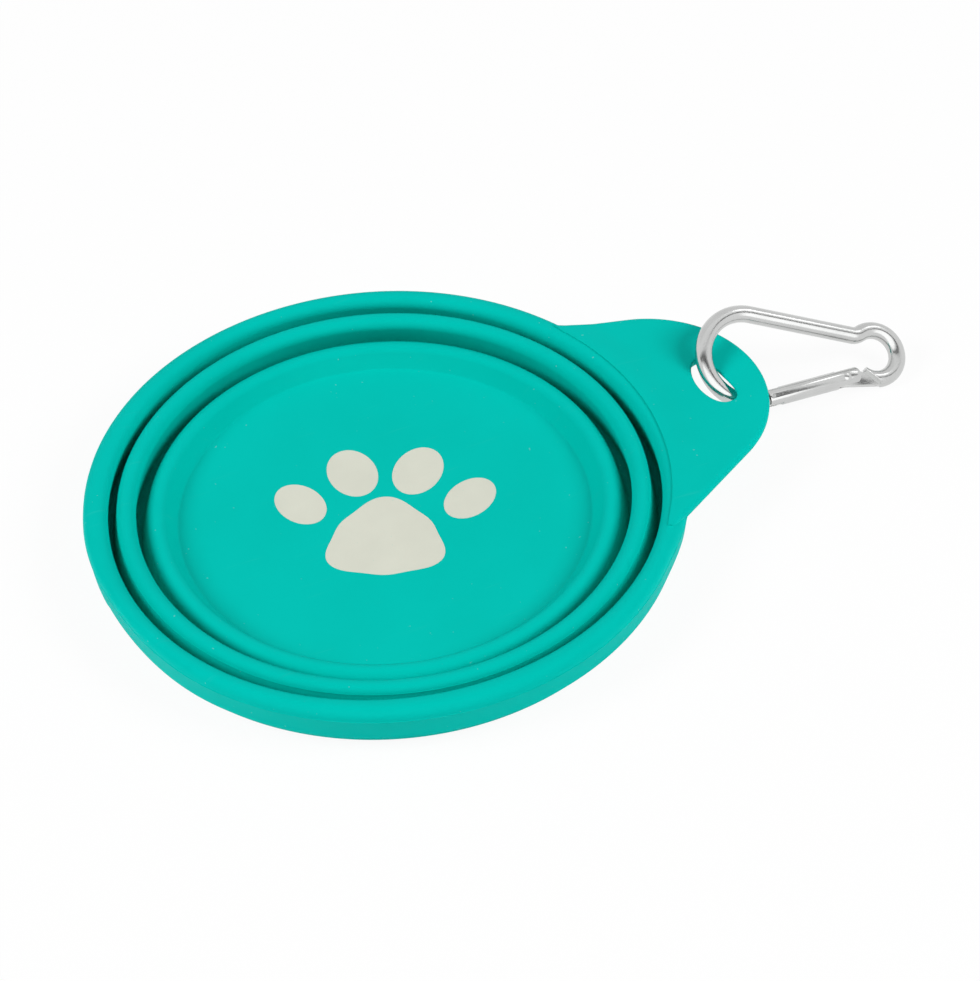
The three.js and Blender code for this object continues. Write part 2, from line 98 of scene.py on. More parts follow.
class BowlSizes(bpy.types.PropertyGroup):
    rim_radius: length("Rim radius", "From the axis to the rim's outside", -RIM_LOW.x / MM)
    folded_height: length("Folded height", "From the table to the rim's top", RIM_HIGH.z / MM)
    rim_width: length("Rim width", "Across the rim's top", 5.2)
    rim_depth: length("Rim depth", "From the rim's top to the foot of its skirt", 8.9)
    rim_taper: length("Rim taper", "How far the skirt draws in towards its foot", 0.55)
    rim_round: length("Rim rounding", "Radius of the rim's outer top edge", 2.2)
    lip_drop: length("Lip drop", "How far the rim's top falls towards its lip", 0.8)
    lip_round: length("Lip rounding", "Radius of the rim's inner top edge", 2.1)
    skirt_round: length("Skirt rounding", "Radius of the skirt's foot", 0.6)
    mould_line: length("Mould line", "How far the moulding's fine line stands out from the rim", 0.1)
    wall: length("Wall", "Thickness of the walls that hang from the rings", 1.4)
    undercut: length("Undercut", "How far a wall leans out under its lip", 1.8)
    wall_thinning: length("Wall thinning", "Height over which a wall thins to its fold", 0.9)
    crest: length("Crest thickness", "Thickness of the middle ring's and the base's crests", 1.7)
    corner_round: length("Corner rounding", "Radius of the inside corners under the crests", 0.5)
    web: length("Web thickness", "Thickness of the folding webs", 0.9)
    web_overlap: length("Web overlap", "How far a web runs into the rings it joins", 0.5)
    web_tuck: length("Web tuck", "How far a web's end lies inside the shoulder it joins", 0.03)
    fold_bend: length("Fold bend", "Radius of the fold at a wall's foot", 1.55)
    upper_gap: length("Upper gap", "From the rim's wall in to the middle ring's shoulder", 4.15)
    lower_gap: length("Lower gap", "From the middle ring's wall in to the base's shoulder", 3.9)
    upper_clearance: length("Upper fold clearance", "From the table to the upper fold", 1.05)
    lower_clearance: length("Lower fold clearance", "From the table to the lower fold", 0.5)
    middle_drop: length("Middle crest drop", "From the rim's top to the middle ring's crest", 1.13)
    middle_width: length("Middle crest width", "Across the middle ring's crest", 4.65)
    middle_lip_drop: length("Middle lip drop", "From the middle ring's crest to its lip", 0.4)
    middle_lip_round: length("Middle lip rounding", "Radius of the middle ring's inner edge", 2.1)
    middle_round: length("Middle shoulder rounding", "Radius of the middle ring's outer edge", 1.9)
    base_drop: length("Base crest drop", "From the rim's top to the base's crest", 4.0)
    base_width: length("Base crest width", "Across the base's crest", 4.0)
    base_lip_drop: length("Base lip drop", "From the base's crest to its lip", 0.2)
    base_lip_round: length("Base lip rounding", "Radius of the dish's lip", 2.3)
    base_round: length("Base shoulder rounding", "Radius of the base's outer edge", 2.7)
    dish_run: length("Dish run", "From the dish's lip in to the floor's edge", 2.7)
    dish_round: length("Dish rounding", "Radius at the floor's edge", 0.8)
    floor_thickness: length("Floor thickness", "Thickness of the floor's middle", 4.5)
    floor_rise: length("Floor rise", "From the floor's middle up to its edge", 0.7)
    floor_power: FloatProperty(name="Floor power", description="How late the floor turns up to its edge",
                               default=4.0, min=2.0)
    foot_inset: length("Foot inset", "How far the underside stands in from the dish's lip", 4.3)
    foot_round: length("Foot rounding", "Radius of the underside's edge", 1.0)
    root_swell: length("Root swell", "How far the skirt swells out beside the tab", 1.3)
    lip_wave: length("Lip wave", "How far the soft lip lies out of round", 0.4)
    rim_bulge: length("Rim bulge", "How far the soft rim bulges out on one side", 0.45)
    skirt_dent: length("Skirt dent", "How far the soft skirt is pressed in at one place", 0.6)


class TabSizes(bpy.types.PropertyGroup):
    tip_radius: length("Tip radius", "Radius of the tab's round end", 27.0)
    tip_inset: length("Tip inset", "From the rim's outside in to the tip's centre", 0.85)
    side_offset: length("Side offset", "From the bowl's middle line to the tip's centre", 0.4)
    turn: angle("Turn", "How far the tab is turned about its tip's centre", 7.1)
    flare: angle("Flare", "How far each side opens towards the rim", 22.3)
    thickness: length("Thickness", "Thickness of the tab", 2.2)
    drop: length("Drop", "From the rim's top to the tab's top", 0.8)
    edge_round: length("Edge rounding", "Radius of the tab's outer edges", 0.95)
    blend_reach: length("Blend reach", "From the rim's outside to where the tab has its own height", 5.5)
    root_depth: length("Root depth", "How far the tab runs into the rim", 2.3)
    root_fillet: length("Root fillet", "Radius under the tab where it meets the rim", 1.0)
    slot_length: length("Slot length", "Length of the slot at the tab's underside", 15.6)
    slot_width: length("Slot width", "Width of the slot at the tab's underside", 7.8)
    slot_from_rim: length("Slot from rim", "From the rim's outside to the slot's middle", 15.05)
    slot_side_offset: length("Slot side offset", "From the bowl's middle line to the slot's middle", -0.35)
    mouth_length: length("Mouth length", "Length of the slot's oval mouth at the top", 15.3)
    mouth_inner: length("Mouth inner reach", "From the slot's middle to its mouth's side towards the rim", 4.1)
    mouth_outer: length("Mouth outer reach", "From the slot's middle to its mouth's side away from the rim", 2.5)
    mouth_skew: share("Mouth skew", "How much more the mouth reaches out at the end where the hook swings", 0.5)
    slot_round: length("Slot rounding", "Radius of the slot's edges", 0.45)


class HookSizes(bpy.types.PropertyGroup):
    wire: length("Wire", "Diameter of the bent wire", 3.9)
    wide_radius: length("Wide radius", "Radius of the wide end, at the wire's middle", 10.4)
    bulb_radius: length("Bulb radius", "Radius of the narrow end, at the wire's middle", 5.8)
    neck_radius: length("Neck radius", "Radius of the bend between spine and bulb", 3.0)
    spacing: length("Spacing", "From the wide end's centre to the bulb's", 31.7)
    side: angle("Side angle", "Lean of the spine and of the gate to the middle line", 12.4)
    bulb_end: angle("Bulb end", "Where the wire ends on the bulb", -103.0)
    end_spare: angle("End spare", "How far the wire runs on before its end is cut", 26.0)
    end_slant: angle("End slant", "Slant of the cut that faces the gate's ears", 35.0)
    gate: length("Gate", "Diameter of the gate", 4.2)
    gate_start: length("Gate start", "From the wide end's tangent point to the gate", 1.4)
    ear_reach: length("Ear reach", "From the rivet to the tips of the gate's ears", 3.4)
    rivet: length("Rivet", "Diameter of the rivet", 1.6)
    rivet_head: length("Rivet head", "Diameter of the rivet's domed heads", 2.5)
    rivet_proud: length("Rivet proud", "How far the rivet's heads stand out", 0.22)
    rivet_setback: length("Rivet setback", "From the wire's end to the rivet", 6.8)
    tongue: length("Tongue", "Thickness of the flat tongue and of the nose", 1.5)
    tongue_half: length("Tongue half width", "From the tongue's middle to its side", 1.7)
    heel: length("Heel", "From the rivet to the tongue's heel", 1.3)
    bite: length("Bite", "How far tongue and nose run into the wire", 1.7)
    hinge_slot: length("Hinge slot", "Depth of the gate's fork behind the rivet", 2.3)
    nose: length("Nose", "From the gate's end to the nose's tip", 2.6)
    nose_half: length("Nose half width", "From the nose's middle to its side", 1.6)
    nose_gap: length("Nose gap", "From the nose's tip to the fork's end", 1.0)
    end_gap: length("End gap", "From the wire's round end to the gate", 0.4)
    pin: length("Latch pin", "Diameter of the latch pin", 1.0)
    pin_setback: length("Pin setback", "From the gate's end to the latch pin", 1.15)
    pin_inset: length("Pin inset", "How far the latch pin's ends lie in", 0.15)
    gap: length("Running gap", "Play of what turns or slides", 0.3)
    bore: length("Bore", "Diameter of the gate's bore", 2.6)
    plunger: length("Plunger", "Length of the plunger", 3.2)
    plunger_gap: length("Plunger gap", "From the plunger's face to the heel", 0.4)
    spring_wire: length("Spring wire", "Diameter of the spring's wire", 0.4)
    spring_pitch: length("Spring pitch", "From turn to turn", 0.9)
    spring_turns: IntProperty(name="Spring turns", description="Turns of the spring", default=8, min=1)
    edge: length("Broken edge", "Width of the gate's broken edges", 0.12)


class PrintSizes(bpy.types.PropertyGroup):
    pad_radius: length("Pad radius", "Middle radius of the paw's main pad", 12.4)
    toe_ring: length("Toe ring", "Radius on which the toes stand", 22.0)
    toe_width: length("Toe half width", "Half the width of a toe", 5.4)
    toe_height: length("Toe half height", "Half the height of a toe", 7.4)
    toe_spread: angle("Toe spread", "From the first toe to the last", 116.0)
    toes: IntProperty(name="Toes", description="Number of toes", default=4, min=2)
    ink: length("Ink", "How far the ink stands on the floor", 0.06)
    shift: length("Shift", "How far the print stands towards the viewer", 8.0)


class Finishes(bpy.types.PropertyGroup):
    silicone: colour("Silicone", "Colour of the moulding", (0.0, 0.580, 0.503))
    silicone_shade: colour("Silicone shade", "Cloudy part of the moulding's colour", (0.0, 0.545, 0.467))
    dust: colour("Dust", "Fine dust on the moulding", (0.30, 0.66, 0.60))
    ink: colour("Ink", "Colour of the print", (0.745, 0.752, 0.645))
    steel: colour("Steel", "Colour of the hook", (0.60, 0.605, 0.60))
    spring: colour("Spring steel", "Colour of the spring", (0.42, 0.43, 0.44))


class StudioSizes(bpy.types.PropertyGroup):
    floor: length("Floor", "Side of the floor", 6000.0)
    floor_glow: share("Floor glow", "Share of the floor's white that no shadow takes away", 0.93)
    sky: share("Sky", "Strength of the even light from all round", 0.22)
    key: FloatProperty(name="Key", description="Power of each of the two large lamps", default=13.4, min=0.0, unit="POWER")
    side: FloatProperty(name="Side", description="Power of the lamp at the right", default=0.6, min=0.0,
                        unit="POWER")
    dark_card: share("Dark card", "Brightness of the card that the steel mirrors as a dark line", 0.05)
    grey_card: share("Grey card", "Brightness of the card that the steel mirrors as grey", 0.90)
    white_card: FloatProperty(name="White card", description="Brightness of the card that the steel mirrors as white",
                              default=1.7, min=0.0)


# Node trees


class Wire:
    """The value of a socket. Arithmetic on it adds Math nodes to its graph."""

    def __init__(self, graph, socket):
        self.graph = graph
        self.socket = socket

    def other(self, output):
        return Wire(self.graph, self.socket.node.outputs[output])

    def maths(self, operation, first, second):
        return self.graph.node("ShaderNodeMath", {"operation": operation}, {0: first, 1: second})

    def __add__(self, value):
        return self.maths("ADD", self, value)

    def __radd__(self, value):
        return self.maths("ADD", value, self)

    def __sub__(self, value):
        return self.maths("SUBTRACT", self, value)

    def __rsub__(self, value):
        return self.maths("SUBTRACT", value, self)

    def __mul__(self, value):
        return self.maths("MULTIPLY", self, value)

    def __rmul__(self, value):
        return self.maths("MULTIPLY", value, self)

    def __abs__(self):
        return self.graph.node("ShaderNodeMath", {"operation": "ABSOLUTE"}, {0: self})


class Graph:
    """A node tree under construction."""

    def __init__(self, tree):
        self.tree = tree

    def node(self, kind, settings=None, sockets=None, output=0):
        """Adds a node with its settings, then its sockets' values or links, and returns one output."""
        made = self.tree.nodes.new(kind)
        for name, value in (settings or {}).items():
            if name == "stops":
                for element, (place, level) in zip(made.color_ramp.elements, value):
                    element.position = place
                    element.color = (level, level, level, 1.0)
            else:
                setattr(made, name, value)
        for key, value in (sockets or {}).items():
            if isinstance(value, Wire):
                self.tree.links.new(value.socket, made.inputs[key])
            else:
                made.inputs[key].default_value = value
        return Wire(self, made.outputs[output]) if made.outputs else made

    def mixed(self, factor, first, second):
        """A colour between two others."""
        return self.node("ShaderNodeMix", {"data_type": "RGBA"}, {0: factor, 6: first, 7: second}, 2)

    def ramp(self, value, low, high):
        """0 below low, 1 above high."""
        return self.node("ShaderNodeValToRGB", {"stops": ((low, 0.0), (high, 1.0))}, {"Fac": value})


def geometry_graph(name, inputs):
    """A geometry tree with a Geometry socket each way and the named inputs."""
    tree = bpy.data.node_groups.new(name, "GeometryNodeTree")
    tree.interface.new_socket("Geometry", in_out="INPUT", socket_type="NodeSocketGeometry")
    for label, kind in inputs.items():
        tree.interface.new_socket(label, in_out="INPUT", socket_type="NodeSocket" + kind)
    tree.interface.new_socket("Geometry", in_out="OUTPUT", socket_type="NodeSocketGeometry")
    graph = Graph(tree)
    return graph, graph.node("NodeGroupInput")


def close_graph(graph, geometry, entry):
    """Ends a geometry tree in plain meshes with their material."""
    real = graph.node("GeometryNodeRealizeInstances", None, {"Geometry": geometry})
    painted = graph.node("GeometryNodeSetMaterial", None, {"Geometry": real, "Material": entry.other("Material")})
    graph.node("NodeGroupOutput", None, {"Geometry": painted})
    return graph.tree


def turned_tree():
    """Turns a section about the vertical axis."""
    graph, entry = geometry_graph("turned", {"Path Radius": "Float", "Segments": "Int", "Material": "Material"})
    section = graph.node("GeometryNodeMeshToCurve", None, {"Mesh": entry})
    circle = graph.node("GeometryNodeCurvePrimitiveCircle", None,
                        {"Resolution": entry.other("Segments"), "Radius": entry.other("Path Radius")})
    upright = graph.node("GeometryNodeSetCurveNormal", {"mode": "Z_UP"}, {"Curve": circle})
    swept = graph.node("GeometryNodeCurveToMesh", None, {"Curve": upright, "Profile Curve": section})
    merged = graph.node("GeometryNodeMergeByDistance", None, {"Geometry": swept, "Distance": 1e-6})
    return close_graph(graph, merged, entry)


def swept_tree():
    """Draws round wire along a path."""
    graph, entry = geometry_graph("swept", {"Wire Radius": "Float", "Sides": "Int", "Material": "Material"})
    path = graph.node("GeometryNodeMeshToCurve", None, {"Mesh": entry})
    section = graph.node("GeometryNodeCurvePrimitiveCircle", None,
                         {"Resolution": entry.other("Sides"), "Radius": entry.other("Wire Radius")})
    swept = graph.node("GeometryNodeCurveToMesh", None,
                       {"Curve": path, "Profile Curve": section, "Fill Caps": True})
    return close_graph(graph, swept, entry)


def coil_tree():
    """Winds a spring up the vertical axis."""
    graph, entry = geometry_graph("coil", {"Coil Radius": "Float", "Wire Radius": "Float", "Height": "Float",
                                           "Turns": "Float", "Material": "Material"})
    radius = entry.other("Coil Radius")
    helix = graph.node("GeometryNodeCurveSpiral", None,
                       {"Resolution": 24, "Rotations": entry.other("Turns"), "Start Radius": radius,
                        "End Radius": radius, "Height": entry.other("Height")})
    section = graph.node("GeometryNodeCurvePrimitiveCircle", None,
                         {"Resolution": 12, "Radius": entry.other("Wire Radius")})
    swept = graph.node("GeometryNodeCurveToMesh", None,
                       {"Curve": helix, "Profile Curve": section, "Fill Caps": True})
    return close_graph(graph, swept, entry)


def toes_tree():
    """Stands flat oval toes on an arc, the outer ones smaller."""
    graph, entry = geometry_graph("toes", {"Ring": "Float", "Half Width": "Float", "Half Height": "Float",
                                           "Spread": "Float", "Count": "Int", "Ink": "Float",
                                           "Material": "Material"})
    spread = entry.other("Spread")
    arc = graph.node("GeometryNodeCurveArc", None,
                     {"Resolution": entry.other("Count"), "Radius": entry.other("Ring"),
                      "Start Angle": math.pi / 2 - 0.5 * spread, "Sweep Angle": spread})
    disc = graph.node("GeometryNodeMeshCylinder", None,
                      {"Vertices": 56, "Radius": 1.0, "Depth": entry.other("Ink")})
    outwards = graph.node("FunctionNodeAlignRotationToVector", {"axis": "X"},
                          {"Vector": graph.node("GeometryNodeInputTangent")})
    from_middle = abs(graph.node("GeometryNodeInputIndex") - 0.5 * (entry.other("Count") - 1.0))
    size = 1.06 - 0.09 * from_middle
    oval = graph.node("ShaderNodeCombineXYZ", None, {"X": size * entry.other("Half Width"),
                                                     "Y": size * entry.other("Half Height"), "Z": 1.0})
    toes = graph.node("GeometryNodeInstanceOnPoints", None,
                      {"Points": arc, "Instance": disc, "Rotation": outwards, "Scale": oval})
    return close_graph(graph, toes, entry)


# Meshes


def add_object(name, mesh):
    made = bpy.data.objects.new(name, mesh)
    bpy.context.scene.collection.objects.link(made)
    return made


def polyline(name, points, closed=False):
    """An object of plain edges through points, for a geometry tree to read."""
    edges = [(i, i + 1) for i in range(len(points) - 1)]
    if closed:
        edges.append((len(points) - 1, 0))
    mesh = bpy.data.meshes.new(name)
    mesh.from_pydata(points, edges, [])
    return add_object(name, mesh)


def evaluate(made):
    """Replaces an object's mesh with what its modifiers make, and removes them."""
    graph = bpy.context.evaluated_depsgraph_get()
    mesh = bpy.data.meshes.new_from_object(made.evaluated_get(graph))
    made.modifiers.clear()
    old = made.data
    made.data = mesh
    bpy.data.meshes.remove(old)
    mesh.name = made.name
    return made


def grow(made, tree, values):
    """Runs a geometry tree on an object with its inputs set."""
    modifier = made.modifiers.new("grow", "NODES")
    modifier.node_group = tree
    for item in tree.interface.items_tree:
        if item.in_out == "INPUT" and item.name in values:
            modifier[item.identifier] = values[item.name]
    evaluate(made)
    bpy.data.node_groups.remove(tree)
    return made


def tidy(made, sharp=35.0):
    """Closes seams, points faces outwards and shades all but the sharp edges smooth."""
    shape = bmesh.new()
    shape.from_mesh(made.data)
    bmesh.ops.remove_doubles(shape, verts=shape.verts, dist=1e-7)
    bmesh.ops.recalc_face_normals(shape, faces=shape.faces)
    open_edges = sum(1 for edge in shape.edges if not edge.is_manifold)
    shape.to_mesh(made.data)
    shape.free()
    if open_edges or not made.data.polygons:
        raise RuntimeError(f"{made.name} has {open_edges} open edges")
    made.data.shade_smooth()
    made.data.set_sharp_from_angle(angle=math.radians(sharp))
    return made


def paint(made, material):
    made.data.materials.clear()
    made.data.materials.append(material)
    return made


def combine(made, other, operation):
    """Joins, cuts or trims an object by another, which is used up."""
    modifier = made.modifiers.new(operation.lower(), "BOOLEAN")
    modifier.operation = operation
    modifier.solver = "EXACT"
    modifier.object = other
    evaluate(made)
    mesh = other.data
    bpy.data.objects.remove(other)
    bpy.data.meshes.remove(mesh)
    return made


def break_edges(made, width):
    """Bevels an object's sharp edges."""
    modifier = made.modifiers.new("edges", "BEVEL")
    modifier.width = width
    modifier.segments = 2
    modifier.limit_method = "ANGLE"
    modifier.angle_limit = math.radians(40.0)
    return evaluate(made)


def arc(centre, radius, start, end, steps):
    """Points on an arc in a plane, both ends included."""
    turns = [start + (end - start) * i / steps for i in range(steps + 1)]
    return [centre + radius * Vector((math.cos(turn), math.sin(turn))) for turn in turns]


def straight(start, end, steps):
    """Points from start towards end, the last left out."""
    return [start.lerp(end, i / steps) for i in range(steps)]


def rounded(corners):
    """A closed outline from corners given as (x, y) or (x, y, rounding)."""
    outline = []
    for i, (x, y, *rounding) in enumerate(corners):
        corner = Vector((x, y))
        if not rounding:
            outline.append(corner)
            continue
        before = (Vector(corners[i - 1][:2]) - corner).normalized()
        after = (Vector(corners[(i + 1) % len(corners)][:2]) - corner).normalized()
        half = before.angle(after) / 2
        centre = corner + (before + after).normalized() * (rounding[0] / math.sin(half))
        start = corner + before * (rounding[0] / math.tan(half)) - centre
        end = corner + after * (rounding[0] / math.tan(half)) - centre
        turn = math.atan2(start.x * end.y - start.y * end.x, start.dot(end))
        first = math.atan2(start.y, start.x)
        outline.extend(arc(centre, rounding[0], first, first + turn, ROUND_STEPS))
    return outline


def strip(path, thickness):
    """The closed outline of a strip of even thickness along a path."""
    sides = ([], [])
    for i, point in enumerate(path):
        along = (path[min(i + 1, len(path) - 1)] - path[max(i - 1, 0)]).normalized()
        across = Vector((-along.y, along.x)) * (thickness / 2)
        sides[0].append(point + across)
        sides[1].append(point - across)
    return sides[0] + sides[1][::-1]


def turned(name, section, closed, material, segments=BOWL_SEGMENTS):
    """A ring or disc turned from a section of radius and height."""
    path = max(point.x for point in section) / 2
    made = polyline(name, [(point.x - path, -point.y, 0.0) for point in section], closed)
    return tidy(grow(made, turned_tree(), {"Path Radius": path, "Segments": segments, "Material": material}))


def slab(name, outline, low, high):
    """A flat plate with an outline in the plane, from one height to another."""
    shape = bmesh.new()
    face = shape.faces.new([shape.verts.new((point[0], point[1], low)) for point in outline])
    swept = bmesh.ops.extrude_face_region(shape, geom=[face])
    top = [item for item in swept["geom"] if isinstance(item, bmesh.types.BMVert)]
    bmesh.ops.translate(shape, verts=top, vec=(0.0, 0.0, high - low))
    bmesh.ops.recalc_face_normals(shape, faces=shape.faces)
    mesh = bpy.data.meshes.new(name)
    shape.to_mesh(mesh)
    shape.free()
    return add_object(name, mesh)


def smooth_step(value, start, end):
    share_done = min(max((value - start) / (end - start), 0.0), 1.0)
    return share_done * share_done * (3.0 - 2.0 * share_done)


def settle(made, material, body, node):
    """Gives a finished piece its finish and its body, and hides the frame's part that it stands for."""
    paint(made, material)
    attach(made, body)
    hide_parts(node)
    return made


# Finishes


def new_material(name):
    """A material, its graph and its shader's sockets."""
    material = bpy.data.materials.new(name)
    if material.name != name:
        raise RuntimeError(f"there is already a finish called {name}")
    material.use_nodes = True
    graph = Graph(material.node_tree)
    return material, graph, material.node_tree.nodes["Principled BSDF"].inputs


def link(graph, wire, socket):
    graph.tree.links.new(wire.socket, socket)


def noise(graph, place, scale, detail=3.0):
    return graph.node("ShaderNodeTexNoise", None, {"Vector": place, "Scale": scale, "Detail": detail})


def silicone():
    """Soft matt silicone: cloudy colour, fine grain, faint scuffs and a little dust."""
    if "soft_silicone" in bpy.data.materials:
        return bpy.data.materials["soft_silicone"]
    finish = bpy.context.scene.bowl_finishes
    material, graph, shader = new_material("soft_silicone")
    place = graph.node("ShaderNodeTexCoord", None, None, "Object")
    cloud = graph.ramp(noise(graph, place, 45.0), 0.35, 0.70)
    long_marks = graph.node("ShaderNodeMapping", None,
                            {"Vector": place, "Rotation": (0.0, 0.0, 0.5), "Scale": (60.0, 900.0, 200.0)})
    scuff = graph.ramp(noise(graph, long_marks, 1.0), 0.66, 0.80)
    speck = graph.ramp(noise(graph, place, 1100.0, 1.0), 0.775, 0.81)
    body = graph.mixed(cloud * 0.6, (*finish.silicone, 1.0), (*finish.silicone_shade, 1.0))
    dusty = graph.mixed(speck * 0.35 + scuff * 0.025, body, (*finish.dust, 1.0))
    link(graph, dusty, shader["Base Color"])
    link(graph, 0.46 + cloud * 0.06 + scuff * 0.10, shader["Roughness"])
    grain = noise(graph, place, 2600.0, 2.0)
    bump = graph.node("ShaderNodeBump", None, {"Height": grain, "Strength": 0.10, "Distance": 0.00008})
    link(graph, bump, shader["Normal"])
    shader["Specular IOR Level"].default_value = 0.012
    return material


def ink():
    """Cream print, a little uneven, with a few worn specks."""
    finish = bpy.context.scene.bowl_finishes
    material, graph, shader = new_material("print_ink")
    place = graph.node("ShaderNodeTexCoord", None, None, "Object")
    uneven = graph.ramp(noise(graph, place, 130.0), 0.3, 0.75)
    worn = graph.ramp(noise(graph, place, 1500.0, 2.0), 0.72, 0.78)
    shade = tuple(0.93 * level for level in finish.ink)
    cream = graph.mixed(uneven * 0.7, (*finish.ink, 1.0), (*shade, 1.0))
    link(graph, graph.mixed(worn * 0.3, cream, (*finish.silicone, 1.0)), shader["Base Color"])
    link(graph, 0.52 + uneven * 0.1, shader["Roughness"])
    shader["Specular IOR Level"].default_value = 0.25
    return material


def steel(name, tint, roughness):
    """Polished steel with fine scratches and faint smears."""
    if name in bpy.data.materials:
        return bpy.data.materials[name]
    material, graph, shader = new_material(name)
    place = graph.node("ShaderNodeTexCoord", None, None, "Object")
    smear = graph.ramp(noise(graph, place, 160.0), 0.35, 0.75)
    drawn = graph.node("ShaderNodeMapping", None,
                       {"Vector": place, "Rotation": (0.0, 0.0, -0.1), "Scale": (300.0, 5200.0, 5200.0)})
    scratch = graph.ramp(noise(graph, drawn, 1.0, 2.0), 0.60, 0.72)
    shade = tuple(0.88 * level for level in tint)
    link(graph, graph.mixed(smear * 0.6, (*tint, 1.0), (*shade, 1.0)), shader["Base Color"])
    link(graph, roughness + smear * 0.06 + scratch * 0.10, shader["Roughness"])
    bump = graph.node("ShaderNodeBump", None, {"Height": scratch, "Strength": 0.06, "Distance": 0.00002})
    link(graph, bump, shader["Normal"])
    shader["Metallic"].default_value = 1.0
    return material


def hook_steel():
    return steel("polished_steel", bpy.context.scene.bowl_finishes.steel, 0.16)


def spring_steel():
    return steel("dark_spring_steel", bpy.context.scene.bowl_finishes.spring, 0.30)


# Bowl


class RingWall:
    """A wall that hangs from a ring's lip, thins into a fold at its foot, and the shoulder its web rises to."""

    def __init__(self, sizes, lip, gap, clearance):
        self.inner = lip + sizes.undercut
        self.outer = self.inner + sizes.wall
        self.middle = (self.inner + self.outer) / 2
        self.shoulder = self.middle - gap
        self.fold_height = clearance + sizes.web / 2 + sizes.fold_bend
        self.thins_at = self.fold_height + sizes.wall_thinning

    def corners(self, sizes):
        """The wall's lower corners, from its outside round to its inside."""
        return [(self.outer, self.thins_at), (self.middle + sizes.web / 2, self.fold_height),
                (self.middle - sizes.web / 2, self.fold_height), (self.inner, self.thins_at)]

    def web_path(self, sizes, crest, rounding):
        """The middle of the web: out of the wall's foot, under the fold, and up into the shoulder."""
        fold = Vector((self.middle - sizes.fold_bend, self.fold_height))
        path = [Vector((self.middle, self.fold_height + sizes.web_overlap))]
        path += arc(fold, sizes.fold_bend, 0.0, -math.pi, 18)
        top = Vector((self.shoulder - sizes.web / 2 - sizes.web_tuck, crest - rounding))
        return path + straight(path[-1], top, 32)[1:] + [top, top + Vector((0.0, sizes.web_overlap))]


class BowlLayout:
    """Radii and heights that follow from the bowl's sizes."""

    def __init__(self, sizes):
        self.sizes = sizes
        self.lip = sizes.rim_radius - sizes.rim_width
        self.upper_wall = RingWall(sizes, self.lip, sizes.upper_gap, sizes.upper_clearance)
        self.middle_shoulder = self.upper_wall.shoulder
        self.middle_lip = self.middle_shoulder - sizes.middle_width
        self.middle_crest = sizes.folded_height - sizes.middle_drop
        self.lower_wall = RingWall(sizes, self.middle_lip, sizes.lower_gap, sizes.lower_clearance)
        self.base_shoulder = self.lower_wall.shoulder
        self.base_lip = self.base_shoulder - sizes.base_width
        self.base_crest = sizes.folded_height - sizes.base_drop
        self.floor_edge = self.base_lip - sizes.dish_run

    def floor_at(self, radius):
        """Height of the dish's floor, which turns up towards its edge."""
        sizes = self.sizes
        return sizes.floor_thickness + sizes.floor_rise * (radius / self.floor_edge) ** sizes.floor_power


def shoulder_corners(sizes, shoulder, crest, rounding):
    """A crest's outer edge, from its top round to its underside, with a stub for the web."""
    stub = crest - rounding - sizes.web_overlap
    return [(shoulder, crest, rounding), (shoulder, stub), (shoulder - sizes.web, stub),
            (shoulder - sizes.web, crest - sizes.crest, sizes.corner_round)]


def lie_uneven(made, sizes, layout):
    """Lets the soft rim lie a little out of round, and swells its skirt where the tab grows from it."""
    top, foot = sizes.folded_height, sizes.folded_height - sizes.rim_depth
    for vertex in made.data.vertices:
        radius = math.hypot(vertex.co.x, vertex.co.y)
        turn = math.degrees(math.atan2(vertex.co.y, vertex.co.x))
        upper = smooth_step(vertex.co.z, top - 0.75 * sizes.rim_depth, top - 0.2 * sizes.rim_depth)
        outer = smooth_step(radius, layout.lip + sizes.wall, sizes.rim_radius - sizes.rim_taper)
        if vertex.co.z < foot - sizes.corner_round:
            outer = 0.0
        below = 1.0 - smooth_step(vertex.co.z, top - 0.35 * sizes.rim_depth, top - 0.04 * sizes.rim_depth)
        beside_tab = smooth_step(turn, -45.0, -27.0) * (1.0 - smooth_step(turn, 4.0, 22.0))
        pressed = 1.0 - smooth_step(abs(turn % 360.0 - 190.0), 0.0, 24.0)
        bulging = 1.0 - smooth_step(abs(turn - 142.0), 0.0, 60.0)
        shift = sizes.lip_wave * math.cos(math.radians(3.0 * (turn + 32.0))) * upper * (1.0 - outer)
        shift += sizes.rim_bulge * bulging * outer
        shift += (sizes.root_swell * beside_tab - sizes.skirt_dent * pressed) * below * outer
        vertex.co.x *= 1.0 + shift / radius
        vertex.co.y *= 1.0 + shift / radius


